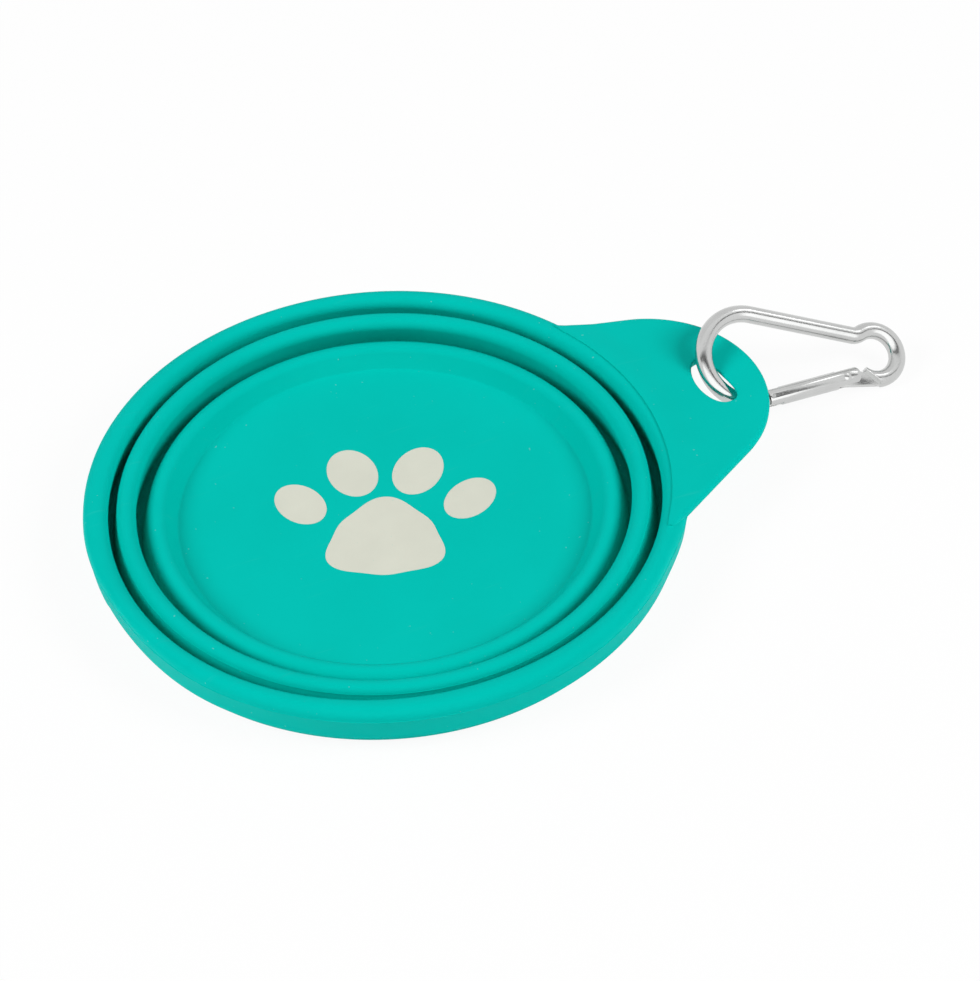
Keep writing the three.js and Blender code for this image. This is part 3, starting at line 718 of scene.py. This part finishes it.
class TabLayout:
    """Outlines and heights of the tab."""

    def __init__(self, tab, bowl):
        self.tab, self.bowl = tab, bowl
        self.tip = Vector((bowl.rim_radius - tab.tip_inset, tab.side_offset))
        self.slot = Vector((bowl.rim_radius + tab.slot_from_rim, tab.slot_side_offset))
        self.root_radius = bowl.rim_radius - tab.root_depth
        self.top = bowl.folded_height - tab.drop
        self.bottom = self.top - tab.thickness

    def side(self, sign):
        """Where a side meets the rim's middle, and where it touches the tip."""
        facing = self.tab.turn + sign * (math.pi / 2 - self.tab.flare)
        outward = Vector((math.cos(facing), math.sin(facing)))
        touch = self.tip + outward * self.tab.tip_radius
        foot = outward * touch.dot(outward)
        reach = math.sqrt(self.root_radius ** 2 - foot.length_squared)
        return facing, foot + (touch - foot).normalized() * reach, touch

    def outline(self):
        """The tab's outer outline, closed inside the rim."""
        right_facing, right_root, right_touch = self.side(-1)
        left_facing, left_root, left_touch = self.side(1)
        root_turns = [math.atan2(root.y, root.x) for root in (left_root, right_root)]
        points = straight(right_root, right_touch, 40)
        points += arc(self.tip, self.tab.tip_radius, right_facing, left_facing, 120)
        points += straight(left_touch, left_root, 40)[1:]
        return points + arc(Vector((0.0, 0.0)), self.root_radius, *root_turns, 60)[:-1]

    def slot_outline(self):
        """The slot at the tab's underside: straight sides and round ends."""
        half = self.tab.slot_width / 2
        end = Vector((0.0, (self.tab.slot_length - self.tab.slot_width) / 2))
        return [self.slot + point for point in (arc(end, half, 0.0, math.pi, 60)
                                                + arc(-end, half, math.pi, 2 * math.pi, 60))]

    def mouth_outline(self):
        """The slot at the tab's top: oval towards the rim, and squarer where the hook swings."""
        points = []
        for point in arc(Vector((0.0, 0.0)), 1.0, 0.0, 2 * math.pi, 160)[:-1]:
            reach = self.tab.mouth_inner * point.x
            if point.x > 0.0:
                reach = self.tab.mouth_outer * max(0.0, 1.0 - abs(point.y) ** 3) ** (1 / 3)
                reach *= 1.0 - self.tab.mouth_skew * point.y
            points.append(self.slot + Vector((reach, point.y * self.tab.mouth_length / 2)))
        return points

    def top_at(self, point):
        """Height of the tab's top, which rises to the rim's."""
        start = self.bowl.rim_radius - 0.7 * self.bowl.rim_round
        rise = smooth_step(point.length, self.bowl.rim_radius + self.tab.blend_reach, start)
        return self.top + rise * (self.tab.drop - 0.04 * self.bowl.rim_round)

    def bottom_at(self, point):
        """Height of the tab's underside, with a fillet at the rim."""
        fillet = self.tab.root_fillet
        inside = min(max(self.bowl.rim_radius + fillet - point.length, 0.0), fillet)
        return self.bottom - fillet + math.sqrt(fillet ** 2 - inside ** 2)


def cast(outline, centre, turn):
    """Where a ray from the centre leaves an outline."""
    ray = Vector((math.cos(turn), math.sin(turn)))
    side = Vector((-ray.y, ray.x))
    for i, point in enumerate(outline):
        start, end = outline[i - 1] - centre, point - centre
        first, second = start.dot(side), end.dot(side)
        if first <= 0.0 < second:
            hit = start.lerp(end, first / (first - second))
            if hit.dot(ray) > 0.0:
                return hit + centre
    raise RuntimeError("the outline doesn't surround the centre")


def tab_rings(layout, count=288, steps=16):
    """Closed rings round the tab's slot: over the top, round the outer edge, under, and up the slot's wall."""
    tab = layout.tab
    outline = layout.outline()
    turns = [2 * math.pi * i / count for i in range(count)]
    outer = [cast(outline, layout.slot, turn) for turn in turns]
    normals = []
    for i in range(count):
        along = (outer[(i + 1) % count] - outer[i - 1]).normalized()
        normals.append(Vector((along.y, -along.x)))
    low_slot = [cast(layout.slot_outline(), layout.slot, turn) - layout.slot for turn in turns]
    high_slot = [cast(layout.mouth_outline(), layout.slot, turn) - layout.slot for turn in turns]
    edge, soft = tab.edge_round, tab.slot_round
    quarter = [math.pi / 2 * i / 6 for i in range(7)]

    def outside(level, turn):
        inset, drop = edge * (1 - math.sin(turn)), edge * (1 - math.cos(turn))
        ring = []
        for point, normal in zip(outer, normals):
            free = smooth_step(point.length, layout.root_radius + tab.slot_round, layout.bowl.rim_radius)
            place = point - normal * inset * free
            height = layout.top_at(place) - drop if level > 0 else layout.bottom_at(place) + drop
            ring.append((place.x, place.y, height))
        return ring

    def at_slot(level, turn):
        inset, drop = soft * (1 - math.sin(turn)), soft * (1 - math.cos(turn))
        ring = []
        for edge_point in (high_slot if level > 0 else low_slot):
            place = layout.slot + edge_point * (1.0 + inset / edge_point.length)
            height = layout.top_at(place) - drop if level > 0 else layout.bottom_at(place) + drop
            ring.append((place.x, place.y, height))
        return ring

    def between(level, first, second):
        rings = []
        for i in range(1, steps):
            ring = []
            for start, end in zip(first, second):
                place = Vector(start[:2]).lerp(Vector(end[:2]), i / steps)
                ring.append((*place, layout.top_at(place) if level > 0 else layout.bottom_at(place)))
            rings.append(ring)
        return rings

    slot_top = [at_slot(1, turn) for turn in reversed(quarter)]
    edge_top = [outside(1, turn) for turn in quarter]
    edge_bottom = [outside(-1, turn) for turn in reversed(quarter)]
    slot_bottom = [at_slot(-1, turn) for turn in quarter]
    return (slot_top + between(1, slot_top[-1], edge_top[0]) + edge_top + edge_bottom
            + between(-1, edge_bottom[-1], slot_bottom[0]) + slot_bottom)


def ring_mesh(name, rings):
    """A closed mesh through rings of equal count, the last joined to the first."""
    count = len(rings[0])
    points = [point for ring in rings for point in ring]
    faces = []
    for i in range(len(rings)):
        here, beyond = i * count, (i + 1) % len(rings) * count
        for j in range(count):
            after = (j + 1) % count
            faces.append((here + j, here + after, beyond + after, beyond + j))
    mesh = bpy.data.meshes.new(name)
    mesh.from_pydata(points, [], faces)
    return add_object(name, mesh)


class MakeRim(bpy.types.Operator):
    """Makes the rim, its wall and its slotted tab as one moulding."""

    bl_idname = "bowl.make_rim"
    bl_label = "Rim and tab"

    def execute(self, context):
        sizes, tab = context.scene.bowl_sizes, context.scene.bowl_tab
        layout = BowlLayout(sizes)
        top, foot = sizes.folded_height, sizes.folded_height - sizes.rim_depth
        line, ridge = top - sizes.rim_round - sizes.lip_drop, sizes.mould_line
        section = rounded([
            (layout.lip, top - sizes.lip_drop, sizes.lip_round),
            (sizes.rim_radius, top, sizes.rim_round),
            (sizes.rim_radius, line),
            (sizes.rim_radius + ridge, line - ridge),
            (sizes.rim_radius, line - 3 * ridge),
            (sizes.rim_radius - sizes.rim_taper, foot, sizes.skirt_round),
            (layout.upper_wall.outer, foot, sizes.corner_round),
            *layout.upper_wall.corners(sizes),
        ])
        made = turned("rim_moulding", section, True, silicone())
        lie_uneven(made, sizes, layout)
        combine(made, tidy(ring_mesh("tab", tab_rings(TabLayout(tab, sizes)))), "UNION")
        settle(tidy(made), silicone(), "rim", "rim_and_tab")
        return {"FINISHED"}


class MakeWebs(bpy.types.Operator):
    """Makes the two thin webs that fold between the rings."""

    bl_idname = "bowl.make_webs"
    bl_label = "Folding webs"

    def execute(self, context):
        sizes = context.scene.bowl_sizes
        layout = BowlLayout(sizes)
        upper = layout.upper_wall.web_path(sizes, layout.middle_crest, sizes.middle_round)
        self.make(sizes, "upper_web", upper, ("rim", "middle_ring"), "upper_fold_web")
        lower = layout.lower_wall.web_path(sizes, layout.base_crest, sizes.base_round)
        self.make(sizes, "lower_web", lower, ("middle_ring", "base"), "lower_fold_web")
        return {"FINISHED"}

    def make(self, sizes, name, path, bodies, node):
        made = turned(name, strip(path, sizes.web), True, silicone())
        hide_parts(node)
        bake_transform(made)


class MakeMiddleRing(bpy.types.Operator):
    """Makes the middle ring."""

    bl_idname = "bowl.make_middle_ring"
    bl_label = "Middle ring"

    def execute(self, context):
        sizes = context.scene.bowl_sizes
        layout = BowlLayout(sizes)
        section = rounded([
            (layout.middle_lip, layout.middle_crest - sizes.middle_lip_drop, sizes.middle_lip_round),
            *shoulder_corners(sizes, layout.middle_shoulder, layout.middle_crest, sizes.middle_round),
            (layout.middle_lip + sizes.wall, layout.middle_crest - sizes.crest, sizes.corner_round),
            *layout.lower_wall.corners(sizes),
        ])
        made = turned("middle_ring", section, True, silicone())
        settle(made, silicone(), "middle_ring", "middle_band")
        return {"FINISHED"}


class MakeBase(bpy.types.Operator):
    """Makes the dish with its floor and its flat underside."""

    bl_idname = "bowl.make_base"
    bl_label = "Dish"

    def execute(self, context):
        sizes = context.scene.bowl_sizes
        layout = BowlLayout(sizes)
        floor = [layout.floor_edge * i / 40 for i in range(38)]
        section = rounded([
            *[(radius, layout.floor_at(radius)) for radius in floor],
            (layout.floor_edge, layout.floor_at(layout.floor_edge), sizes.dish_round),
            (layout.base_lip, layout.base_crest - sizes.base_lip_drop, sizes.base_lip_round),
            *shoulder_corners(sizes, layout.base_shoulder, layout.base_crest, sizes.base_round),
            (layout.base_lip + sizes.wall, layout.base_crest - sizes.crest, sizes.corner_round),
            (layout.base_lip - sizes.foot_inset, 0.0, sizes.foot_round),
            (layout.base_lip / 2, 0.0),
            (0.0, 0.0),
        ])
        made = turned("dish", section, False, silicone())
        settle(made, silicone(), "base", "base_cup")
        return {"FINISHED"}


class MakePrint(bpy.types.Operator):
    """Prints a paw on the dish's floor, upright to the viewer."""

    bl_idname = "bowl.make_print"
    bl_label = "Floor print"

    def execute(self, context):
        sizes, paw = context.scene.bowl_sizes, context.scene.bowl_print
        layout = BowlLayout(sizes)
        material = ink()
        toes = grow(polyline("floor_print", [(0.0, 0.0, 0.0)]), toes_tree(), {
            "Ring": paw.toe_ring, "Half Width": paw.toe_width, "Half Height": paw.toe_height,
            "Spread": paw.toe_spread, "Count": paw.toes, "Ink": 2 * paw.ink, "Material": material})
        pad = []
        for i in range(144):
            turn = 2 * math.pi * i / 144
            lobes = 0.11 * math.cos(3 * (turn - math.pi / 2)) + 0.035 * math.cos(6 * (turn - math.pi / 2))
            reach = paw.pad_radius * (1.0 + lobes)
            pad.append((reach * math.cos(turn), 0.92 * reach * math.sin(turn)))
        combine(toes, slab("pad", pad, -paw.ink, paw.ink), "UNION")
        view = Vector((CAMERA_AIM.x - CAMERA_EYE.x, CAMERA_AIM.y - CAMERA_EYE.y))
        upright = math.atan2(view.y, view.x) - math.pi / 2
        toes.data.transform(Matrix.Rotation(upright, 4, "Z") @ Matrix.Translation((0.0, -paw.shift, 0.0)))
        for vertex in toes.data.vertices:
            vertex.co.z += layout.floor_at(math.hypot(vertex.co.x, vertex.co.y))
        paint(tidy(toes), material)
        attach(toes, "base")
        return {"FINISHED"}


# Snap hook


class HookLayout:
    """The hook's plan in the gate's frame: the rivet is the origin, x runs to the bulb and y inwards."""

    def __init__(self, sizes):
        self.sizes = sizes
        along = Vector((math.cos(sizes.side), math.sin(sizes.side)))
        tangent = Vector((along.y, -along.x)) * sizes.wide_radius
        bulb = Vector((sizes.spacing, 0.0))
        end = bulb + sizes.bulb_radius * Vector((math.cos(sizes.bulb_end), math.sin(sizes.bulb_end)))
        station = (end - tangent).dot(along) - sizes.rivet_setback
        self.rivet = tangent + along * station
        self.along, self.tangent, self.bulb = along, tangent, bulb
        self.end = self.to_gate(end)
        self.gate_end = sizes.gate_start - station
        self.nose_tip = self.gate_end + sizes.nose
        self.pin = self.gate_end + sizes.pin_setback
        self.plunger_face = -sizes.heel - sizes.plunger_gap
        self.spring_length = sizes.spring_turns * sizes.spring_pitch + sizes.spring_wire
        self.bore_end = self.plunger_face - sizes.plunger - self.spring_length - 3 * sizes.gap

    def to_gate(self, point):
        offset = point - self.rivet
        return Vector((offset.dot(self.along), offset.dot(Vector((-self.along.y, self.along.x)))))

    def path(self):
        """The middle of the bent wire, from the nose round to the bulb's end."""
        sizes = self.sizes
        side, quarter = sizes.side, math.pi / 2
        spine_out = Vector((self.along.y, self.along.x))
        spine_start = spine_out * sizes.wide_radius
        depth = (spine_start - self.bulb).dot(spine_out)
        run = math.sqrt((sizes.bulb_radius + sizes.neck_radius) ** 2 - (depth + sizes.neck_radius) ** 2)
        neck_start = self.bulb + spine_out * depth - Vector((self.along.x, -self.along.y)) * run
        neck = neck_start + spine_out * sizes.neck_radius
        to_bulb = math.atan2(self.bulb.y - neck.y, self.bulb.x - neck.x)
        points = [self.tangent + self.along * (sizes.gate_start - sizes.end_gap)]
        points += arc(Vector((0.0, 0.0)), sizes.wide_radius, side - quarter, -side - 3 * quarter, 96)
        points += straight(points[-1], neck_start, 12)[1:]
        points += arc(neck, sizes.neck_radius, -side - quarter, to_bulb, 20)
        points += arc(self.bulb, sizes.bulb_radius, to_bulb + math.pi, sizes.bulb_end - sizes.end_spare, 72)[1:]
        return [self.to_gate(point) for point in points]


def gate_frame():
    """From the gate's frame to the bowl's, from the joints that the frame states."""
    hinge, slide = JOINTS["gate_hinge"], JOINTS["plunger_slide"]
    along, normal = -Vector(slide["axis"]).normalized(), -Vector(hinge["axis"]).normalized()
    turn = Matrix((along, normal.cross(along), normal)).transposed()
    return Matrix.Translation(hinge["pos_m"]) @ turn.to_4x4()


def lie_along(made, start):
    """Turns a piece made on the vertical axis to lie along the gate."""
    made.data.transform(Matrix.Translation((start, 0.0, 0.0)) @ Matrix.Rotation(math.pi / 2, 4, "Y"))
    return made


def place_hook(made):
    made.data.transform(gate_frame())
    return made


def bar(radius, low, high, bevel=0.0):
    """The section of a round bar between two heights."""
    return [Vector((0.0, low)), Vector((radius - bevel, low)), Vector((radius, low + bevel)),
            Vector((radius, high - bevel)), Vector((radius - bevel, high)), Vector((0.0, high))]


def drill(radius, x, half_length):
    """A round cutter across the gate."""
    cutter = turned("drill", bar(radius, -half_length, half_length), False, None, 40)
    cutter.data.transform(Matrix.Translation((x, 0.0, 0.0)))
    return cutter


def cut_wire_end(made, layout):
    """Cuts the wire's end at the bulb to the slant that faces the gate's ears."""
    sizes = layout.sizes
    slant = Vector((math.cos(sizes.end_slant), math.sin(sizes.end_slant), 0.0))
    end = Vector((*layout.end, 0.0))
    shape = bmesh.new()
    shape.from_mesh(made.data)
    near = [vert for vert in shape.verts if (vert.co - end).length < 1.3 * sizes.wire]
    faces = {face for vert in near for face in vert.link_faces}
    edges = {edge for face in faces for edge in face.edges}
    verts = {vert for face in faces for vert in face.verts}
    cut = bmesh.ops.bisect_plane(shape, geom=[*verts, *edges, *faces], plane_co=end, plane_no=slant,
                                 clear_inner=True)
    rim = [item for item in cut["geom_cut"] if isinstance(item, bmesh.types.BMEdge)]
    bmesh.ops.contextual_create(shape, geom=rim)
    bmesh.ops.bevel(shape, geom=rim, offset=2 * sizes.edge, segments=3, affect="EDGES", profile=0.5)
    shape.to_mesh(made.data)
    shape.free()
    return made


class MakeHook(bpy.types.Operator):
    """Makes the bent wire with its hinge tongue and its notched nose."""

    bl_idname = "bowl.make_hook"
    bl_label = "Hook wire"

    def execute(self, context):
        sizes = context.scene.bowl_hook
        layout = HookLayout(sizes)
        made = polyline("hook", [(*point, 0.0) for point in layout.path()])
        grow(made, swept_tree(), {"Wire Radius": sizes.wire / 2, "Sides": 40, "Material": hook_steel()})
        tidy(cut_wire_end(made, layout))
        for part in (self.tongue(layout), self.nose(layout)):
            combine(made, part, "UNION")
        combine(made, drill(sizes.rivet / 2 + sizes.gap, 0.0, sizes.gate), "DIFFERENCE")
        settle(place_hook(tidy(made)), hook_steel(), "hook", "hook_wire")
        return {"FINISHED"}

    def tongue(self, layout):
        sizes = layout.sizes
        along = layout.end.normalized()
        across = Vector((-along.y, along.x)) * sizes.tongue_half
        end = layout.end + along * sizes.bite
        outline = rounded([
            (-sizes.heel, -sizes.tongue_half, sizes.gap),
            tuple(end - across),
            tuple(end + across),
            (-sizes.heel, sizes.tongue_half, sizes.gap),
        ])
        return break_edges(slab("tongue", outline, -sizes.tongue / 2, sizes.tongue / 2), sizes.edge)

    def nose(self, layout):
        sizes = layout.sizes
        root = layout.gate_end - sizes.end_gap - sizes.bite
        notch = sizes.pin / 2 + sizes.gap
        outline = rounded([
            (root, -sizes.nose_half),
            (layout.nose_tip, -sizes.nose_half, 2 * sizes.gap),
            (layout.nose_tip, sizes.nose_half, sizes.gap),
            (layout.pin + notch, sizes.nose_half, sizes.gap / 2),
            (layout.pin + notch, -notch, sizes.gap),
            (layout.pin - notch, -notch, sizes.gap),
            (layout.pin - notch, sizes.nose_half, sizes.gap / 2),
            (root, sizes.nose_half),
        ])
        return break_edges(slab("nose", outline, -sizes.tongue / 2, sizes.tongue / 2), sizes.edge)


class MakeGate(bpy.types.Operator):
    """Makes the gate: a bored rod, forked at both ends and rounded at its ears."""

    bl_idname = "bowl.make_gate"
    bl_label = "Gate"

    def execute(self, context):
        sizes = context.scene.bowl_hook
        layout = HookLayout(sizes)
        radius, bore = sizes.gate / 2, sizes.bore / 2
        section = [
            Vector((0.0, layout.gate_end)),
            Vector((radius, layout.gate_end)),
            Vector((radius, sizes.ear_reach)),
            Vector((bore, sizes.ear_reach)),
            Vector((bore, layout.bore_end)),
            Vector((0.0, layout.bore_end)),
        ]
        made = lie_along(turned("gate", section, False, hook_steel(), 64), 0.0)
        fork = sizes.tongue / 2 + sizes.gap
        outside = 2 * sizes.gate
        for low, high in ((-sizes.hinge_slot, outside), (layout.gate_end - outside, layout.nose_tip + sizes.nose_gap)):
            corners = [(low, -outside), (high, -outside), (high, outside), (low, outside)]
            combine(made, slab("fork", corners, -fork, fork), "DIFFERENCE")
        ears = arc(Vector((0.0, 0.0)), sizes.ear_reach, -math.pi / 2, math.pi / 2, 48)
        beyond = [*ears, Vector((outside, sizes.ear_reach)), Vector((outside, -sizes.ear_reach))]
        combine(made, slab("ears", beyond, -outside, outside), "DIFFERENCE")
        combine(made, drill(sizes.rivet / 2, 0.0, sizes.gate), "DIFFERENCE")
        combine(made, drill(sizes.pin / 2, layout.pin, sizes.gate), "DIFFERENCE")
        tidy(break_edges(made, sizes.edge))
        settle(place_hook(made), hook_steel(), "gate", "hook_gate")
        return {"FINISHED"}


class MakePins(bpy.types.Operator):
    """Makes the gate's rivet, with domed heads, and its latch pin."""

    bl_idname = "bowl.make_pins"
    bl_label = "Rivet and latch pin"

    def execute(self, context):
        sizes = context.scene.bowl_hook
        layout = HookLayout(sizes)
        shank, head, top = sizes.rivet / 2, sizes.rivet_head / 2, sizes.gate / 2 + sizes.rivet_proud
        under = math.sqrt((sizes.gate / 2) ** 2 - head ** 2) - sizes.edge
        dome = [Vector((shank, under)), Vector((head, under))]
        for i in range(1, 13):
            turn = math.pi / 2 * i / 12
            dome.append(Vector((head * math.cos(turn), under + (top - under) * math.sin(turn))))
        dome[-1].x = 0.0
        section = [Vector((point.x, -point.y)) for point in reversed(dome)] + dome
        rivet = turned("rivet", section, False, hook_steel(), 48)
        settle(place_hook(rivet), hook_steel(), "gate", "gate_rivet")
        half = sizes.gate / 2 - sizes.pin_inset
        pin = turned("pin", bar(sizes.pin / 2, -half, half, sizes.edge), False, hook_steel(), 40)
        pin.data.transform(Matrix.Translation((layout.pin, 0.0, 0.0)))
        settle(place_hook(pin), hook_steel(), "gate", "latch_pin")
        return {"FINISHED"}


class MakeSpring(bpy.types.Operator):
    """Makes the plunger in the gate's bore and the coil spring behind it."""

    bl_idname = "bowl.make_spring"
    bl_label = "Plunger and spring"

    def execute(self, context):
        sizes = context.scene.bowl_hook
        layout = HookLayout(sizes)
        inside = sizes.bore / 2 - sizes.gap
        plunger = turned("plunger", bar(inside, -sizes.plunger, 0.0, 2 * sizes.edge), False, hook_steel(), 48)
        settle(place_hook(lie_along(plunger, layout.plunger_face)), hook_steel(), "plunger", "gate_plunger")
        wire = sizes.spring_wire / 2
        spring = grow(polyline("spring", [(0.0, 0.0, 0.0)]), coil_tree(), {
            "Coil Radius": inside - wire, "Wire Radius": wire, "Turns": float(sizes.spring_turns),
            "Height": sizes.spring_turns * sizes.spring_pitch, "Material": spring_steel()})
        lie_along(tidy(spring), layout.bore_end + sizes.gap + wire)
        settle(place_hook(spring), spring_steel(), "gate", "gate_spring")
        return {"FINISHED"}


# Stage

CAMERA_EYE = Vector((-153.66, -433.92, 474.35)) * MM
CAMERA_AIM = Vector((20.19, -11.68, 13.5)) * MM
CAMERA_ROLL = math.radians(-2.154)
CAMERA_SENSOR = 36.0
CAMERA_LENS = CAMERA_SENSOR * 3000 / 981


def lamp(name, place, aim, side, power):
    """A square soft lamp that faces a point."""
    data = bpy.data.lights.new(name, "AREA")
    data.size = side
    data.energy = power
    made = bpy.data.objects.new(name, data)
    bpy.context.scene.collection.objects.link(made)
    made.location = place
    made.rotation_euler = (aim - place).to_track_quat("-Z", "Y").to_euler()
    return made


def card(name, place, aim, width, height, level):
    """A plain card that faces a point and shows only in polished metal."""
    facing = (aim - place).to_track_quat("-Z", "Y").to_matrix().to_4x4()
    corners = [Vector((x * width / 2, y * height / 2, 0.0)) for x, y in ((-1, -1), (1, -1), (1, 1), (-1, 1))]
    mesh = bpy.data.meshes.new(name)
    mesh.from_pydata([place + facing @ corner for corner in corners], [], [(0, 1, 2, 3)])
    material = bpy.data.materials.new(name)
    material.use_nodes = True
    material.node_tree.nodes.clear()
    graph = Graph(material.node_tree)
    light = graph.node("ShaderNodeEmission", None, {"Color": (level, level, level, 1.0), "Strength": 1.0})
    graph.node("ShaderNodeOutputMaterial", None, {"Surface": light})
    made = paint(add_object(name, mesh), material)
    made.visible_camera = made.visible_diffuse = made.visible_shadow = made.visible_transmission = False
    return made


def seen_directly(graph):
    """1 on what the camera sees, also in metal and through glass."""
    path = graph.node("ShaderNodeLightPath")
    seen = path + path.other("Is Glossy Ray") + path.other("Is Transmission Ray")
    return graph.node("ShaderNodeClamp", None, {"Value": seen})


def white_floor(glow):
    """A white floor that keeps a soft shadow."""
    material = bpy.data.materials.new("white_floor")
    material.use_nodes = True
    material.node_tree.nodes.clear()
    graph = Graph(material.node_tree)
    paper = graph.node("ShaderNodeBsdfDiffuse", None, {"Color": (1.0, 1.0, 1.0, 1.0)})
    light = graph.node("ShaderNodeEmission", None, {"Strength": 1.0})
    shown = graph.node("ShaderNodeMixShader", None, {0: seen_directly(graph) * glow, 1: paper, 2: light})
    graph.node("ShaderNodeOutputMaterial", None, {"Surface": shown})
    return material


def white_sky(world, strength):
    """Even light from all round, seen as white."""
    world.use_nodes = True
    world.node_tree.nodes.clear()
    graph = Graph(world.node_tree)
    light = graph.node("ShaderNodeBackground", None, {"Color": (1.0, 1.0, 1.0, 1.0), "Strength": strength})
    white = graph.node("ShaderNodeBackground", None, {"Color": (1.0, 1.0, 1.0, 1.0), "Strength": 1.0})
    shown = graph.node("ShaderNodeMixShader", None, {0: seen_directly(graph), 1: light, 2: white})
    graph.node("ShaderNodeOutputWorld", None, {"Surface": shown})


class MakeStage(bpy.types.Operator):
    """Sets the floor, the lamps and the camera."""

    bl_idname = "bowl.make_stage"
    bl_label = "Studio"

    def execute(self, context):
        scene, studio = context.scene, context.scene.bowl_studio
        half = studio.floor / 2
        mesh = bpy.data.meshes.new("floor")
        mesh.from_pydata([(-half, -half, 0.0), (half, -half, 0.0), (half, half, 0.0), (-half, half, 0.0)], [],
                         [(0, 1, 2, 3)])
        floor = paint(add_object("floor", mesh), white_floor(studio.floor_glow))
        scene.world = scene.world or bpy.data.worlds.new("studio")
        white_sky(scene.world, studio.sky)
        middle = Vector((0.02, 0.0, 0.01))
        back = Vector((CAMERA_AIM.x - CAMERA_EYE.x, CAMERA_AIM.y - CAMERA_EYE.y, 0.0)).normalized()
        across = Vector((back.y, -back.x, 0.0))
        for name, side in (("left_key", -1.0), ("right_key", 1.0)):
            place = middle + 1.15 * side * across - 0.35 * back + Vector((0.0, 0.0, 0.95))
            lamp(name, place, middle, 0.7, studio.key).visible_glossy = False
        lamp("side", Vector((0.95, 0.05, 1.05)), middle, 0.30, studio.side)
        card("grey_card", middle + 1.0 * back + Vector((0.0, 0.0, 0.9)), middle, 3.0, 1.6, studio.grey_card)
        card("dark_card", middle - 0.30 * back + Vector((0.0, 0.0, 1.0)), middle, 3.0, 0.22, studio.dark_card)
        card("white_card", middle - 1.2 * back + Vector((0.0, 0.0, 0.85)), middle, 3.0, 1.3, studio.white_card)
        data = bpy.data.cameras.new("camera")
        data.sensor_width = CAMERA_SENSOR
        data.lens = CAMERA_LENS
        camera = bpy.data.objects.new("camera", data)
        scene.collection.objects.link(camera)
        camera.location = CAMERA_EYE
        aimed = (CAMERA_AIM - CAMERA_EYE).to_track_quat("-Z", "Y").to_matrix()
        camera.rotation_euler = (aimed @ Matrix.Rotation(CAMERA_ROLL, 3, "Z")).to_euler()
        scene.camera = camera
        scene.view_settings.view_transform = "Standard"
        return {"FINISHED"}


# Add-on

GROUPS = {
    "bowl_sizes": BowlSizes,
    "bowl_tab": TabSizes,
    "bowl_hook": HookSizes,
    "bowl_print": PrintSizes,
    "bowl_finishes": Finishes,
    "bowl_studio": StudioSizes,
}
MAKERS = (MakeRim, MakeWebs, MakeMiddleRing, MakeBase, MakePrint, MakeHook, MakeGate, MakePins, MakeSpring,
          MakeStage)


class BowlPanel(bpy.types.Panel):
    """Lists the bowl's pieces and their sizes."""

    bl_idname = "VIEW3D_PT_bowl"
    bl_label = "Folding bowl"
    bl_space_type = "VIEW_3D"
    bl_region_type = "UI"
    bl_category = "Bowl"

    def draw(self, context):
        for maker in MAKERS:
            self.layout.operator(maker.bl_idname)
        for name in GROUPS:
            for prop in getattr(context.scene, name).bl_rna.properties:
                if not prop.is_readonly and prop.identifier != "name":
                    self.layout.prop(getattr(context.scene, name), prop.identifier)


def register():
    for kind in (*GROUPS.values(), *MAKERS, BowlPanel):
        bpy.utils.register_class(kind)
    for name, kind in GROUPS.items():
        setattr(bpy.types.Scene, name, PointerProperty(type=kind))


def unregister():
    for name in GROUPS:
        delattr(bpy.types.Scene, name)
    for kind in reversed((*GROUPS.values(), *MAKERS, BowlPanel)):
        bpy.utils.unregister_class(kind)


def main():
    register()
    for maker in MAKERS:
        category, name = maker.bl_idname.split(".")
        getattr(getattr(bpy.ops, category), name)()


if __name__ == "__main__":
    main()
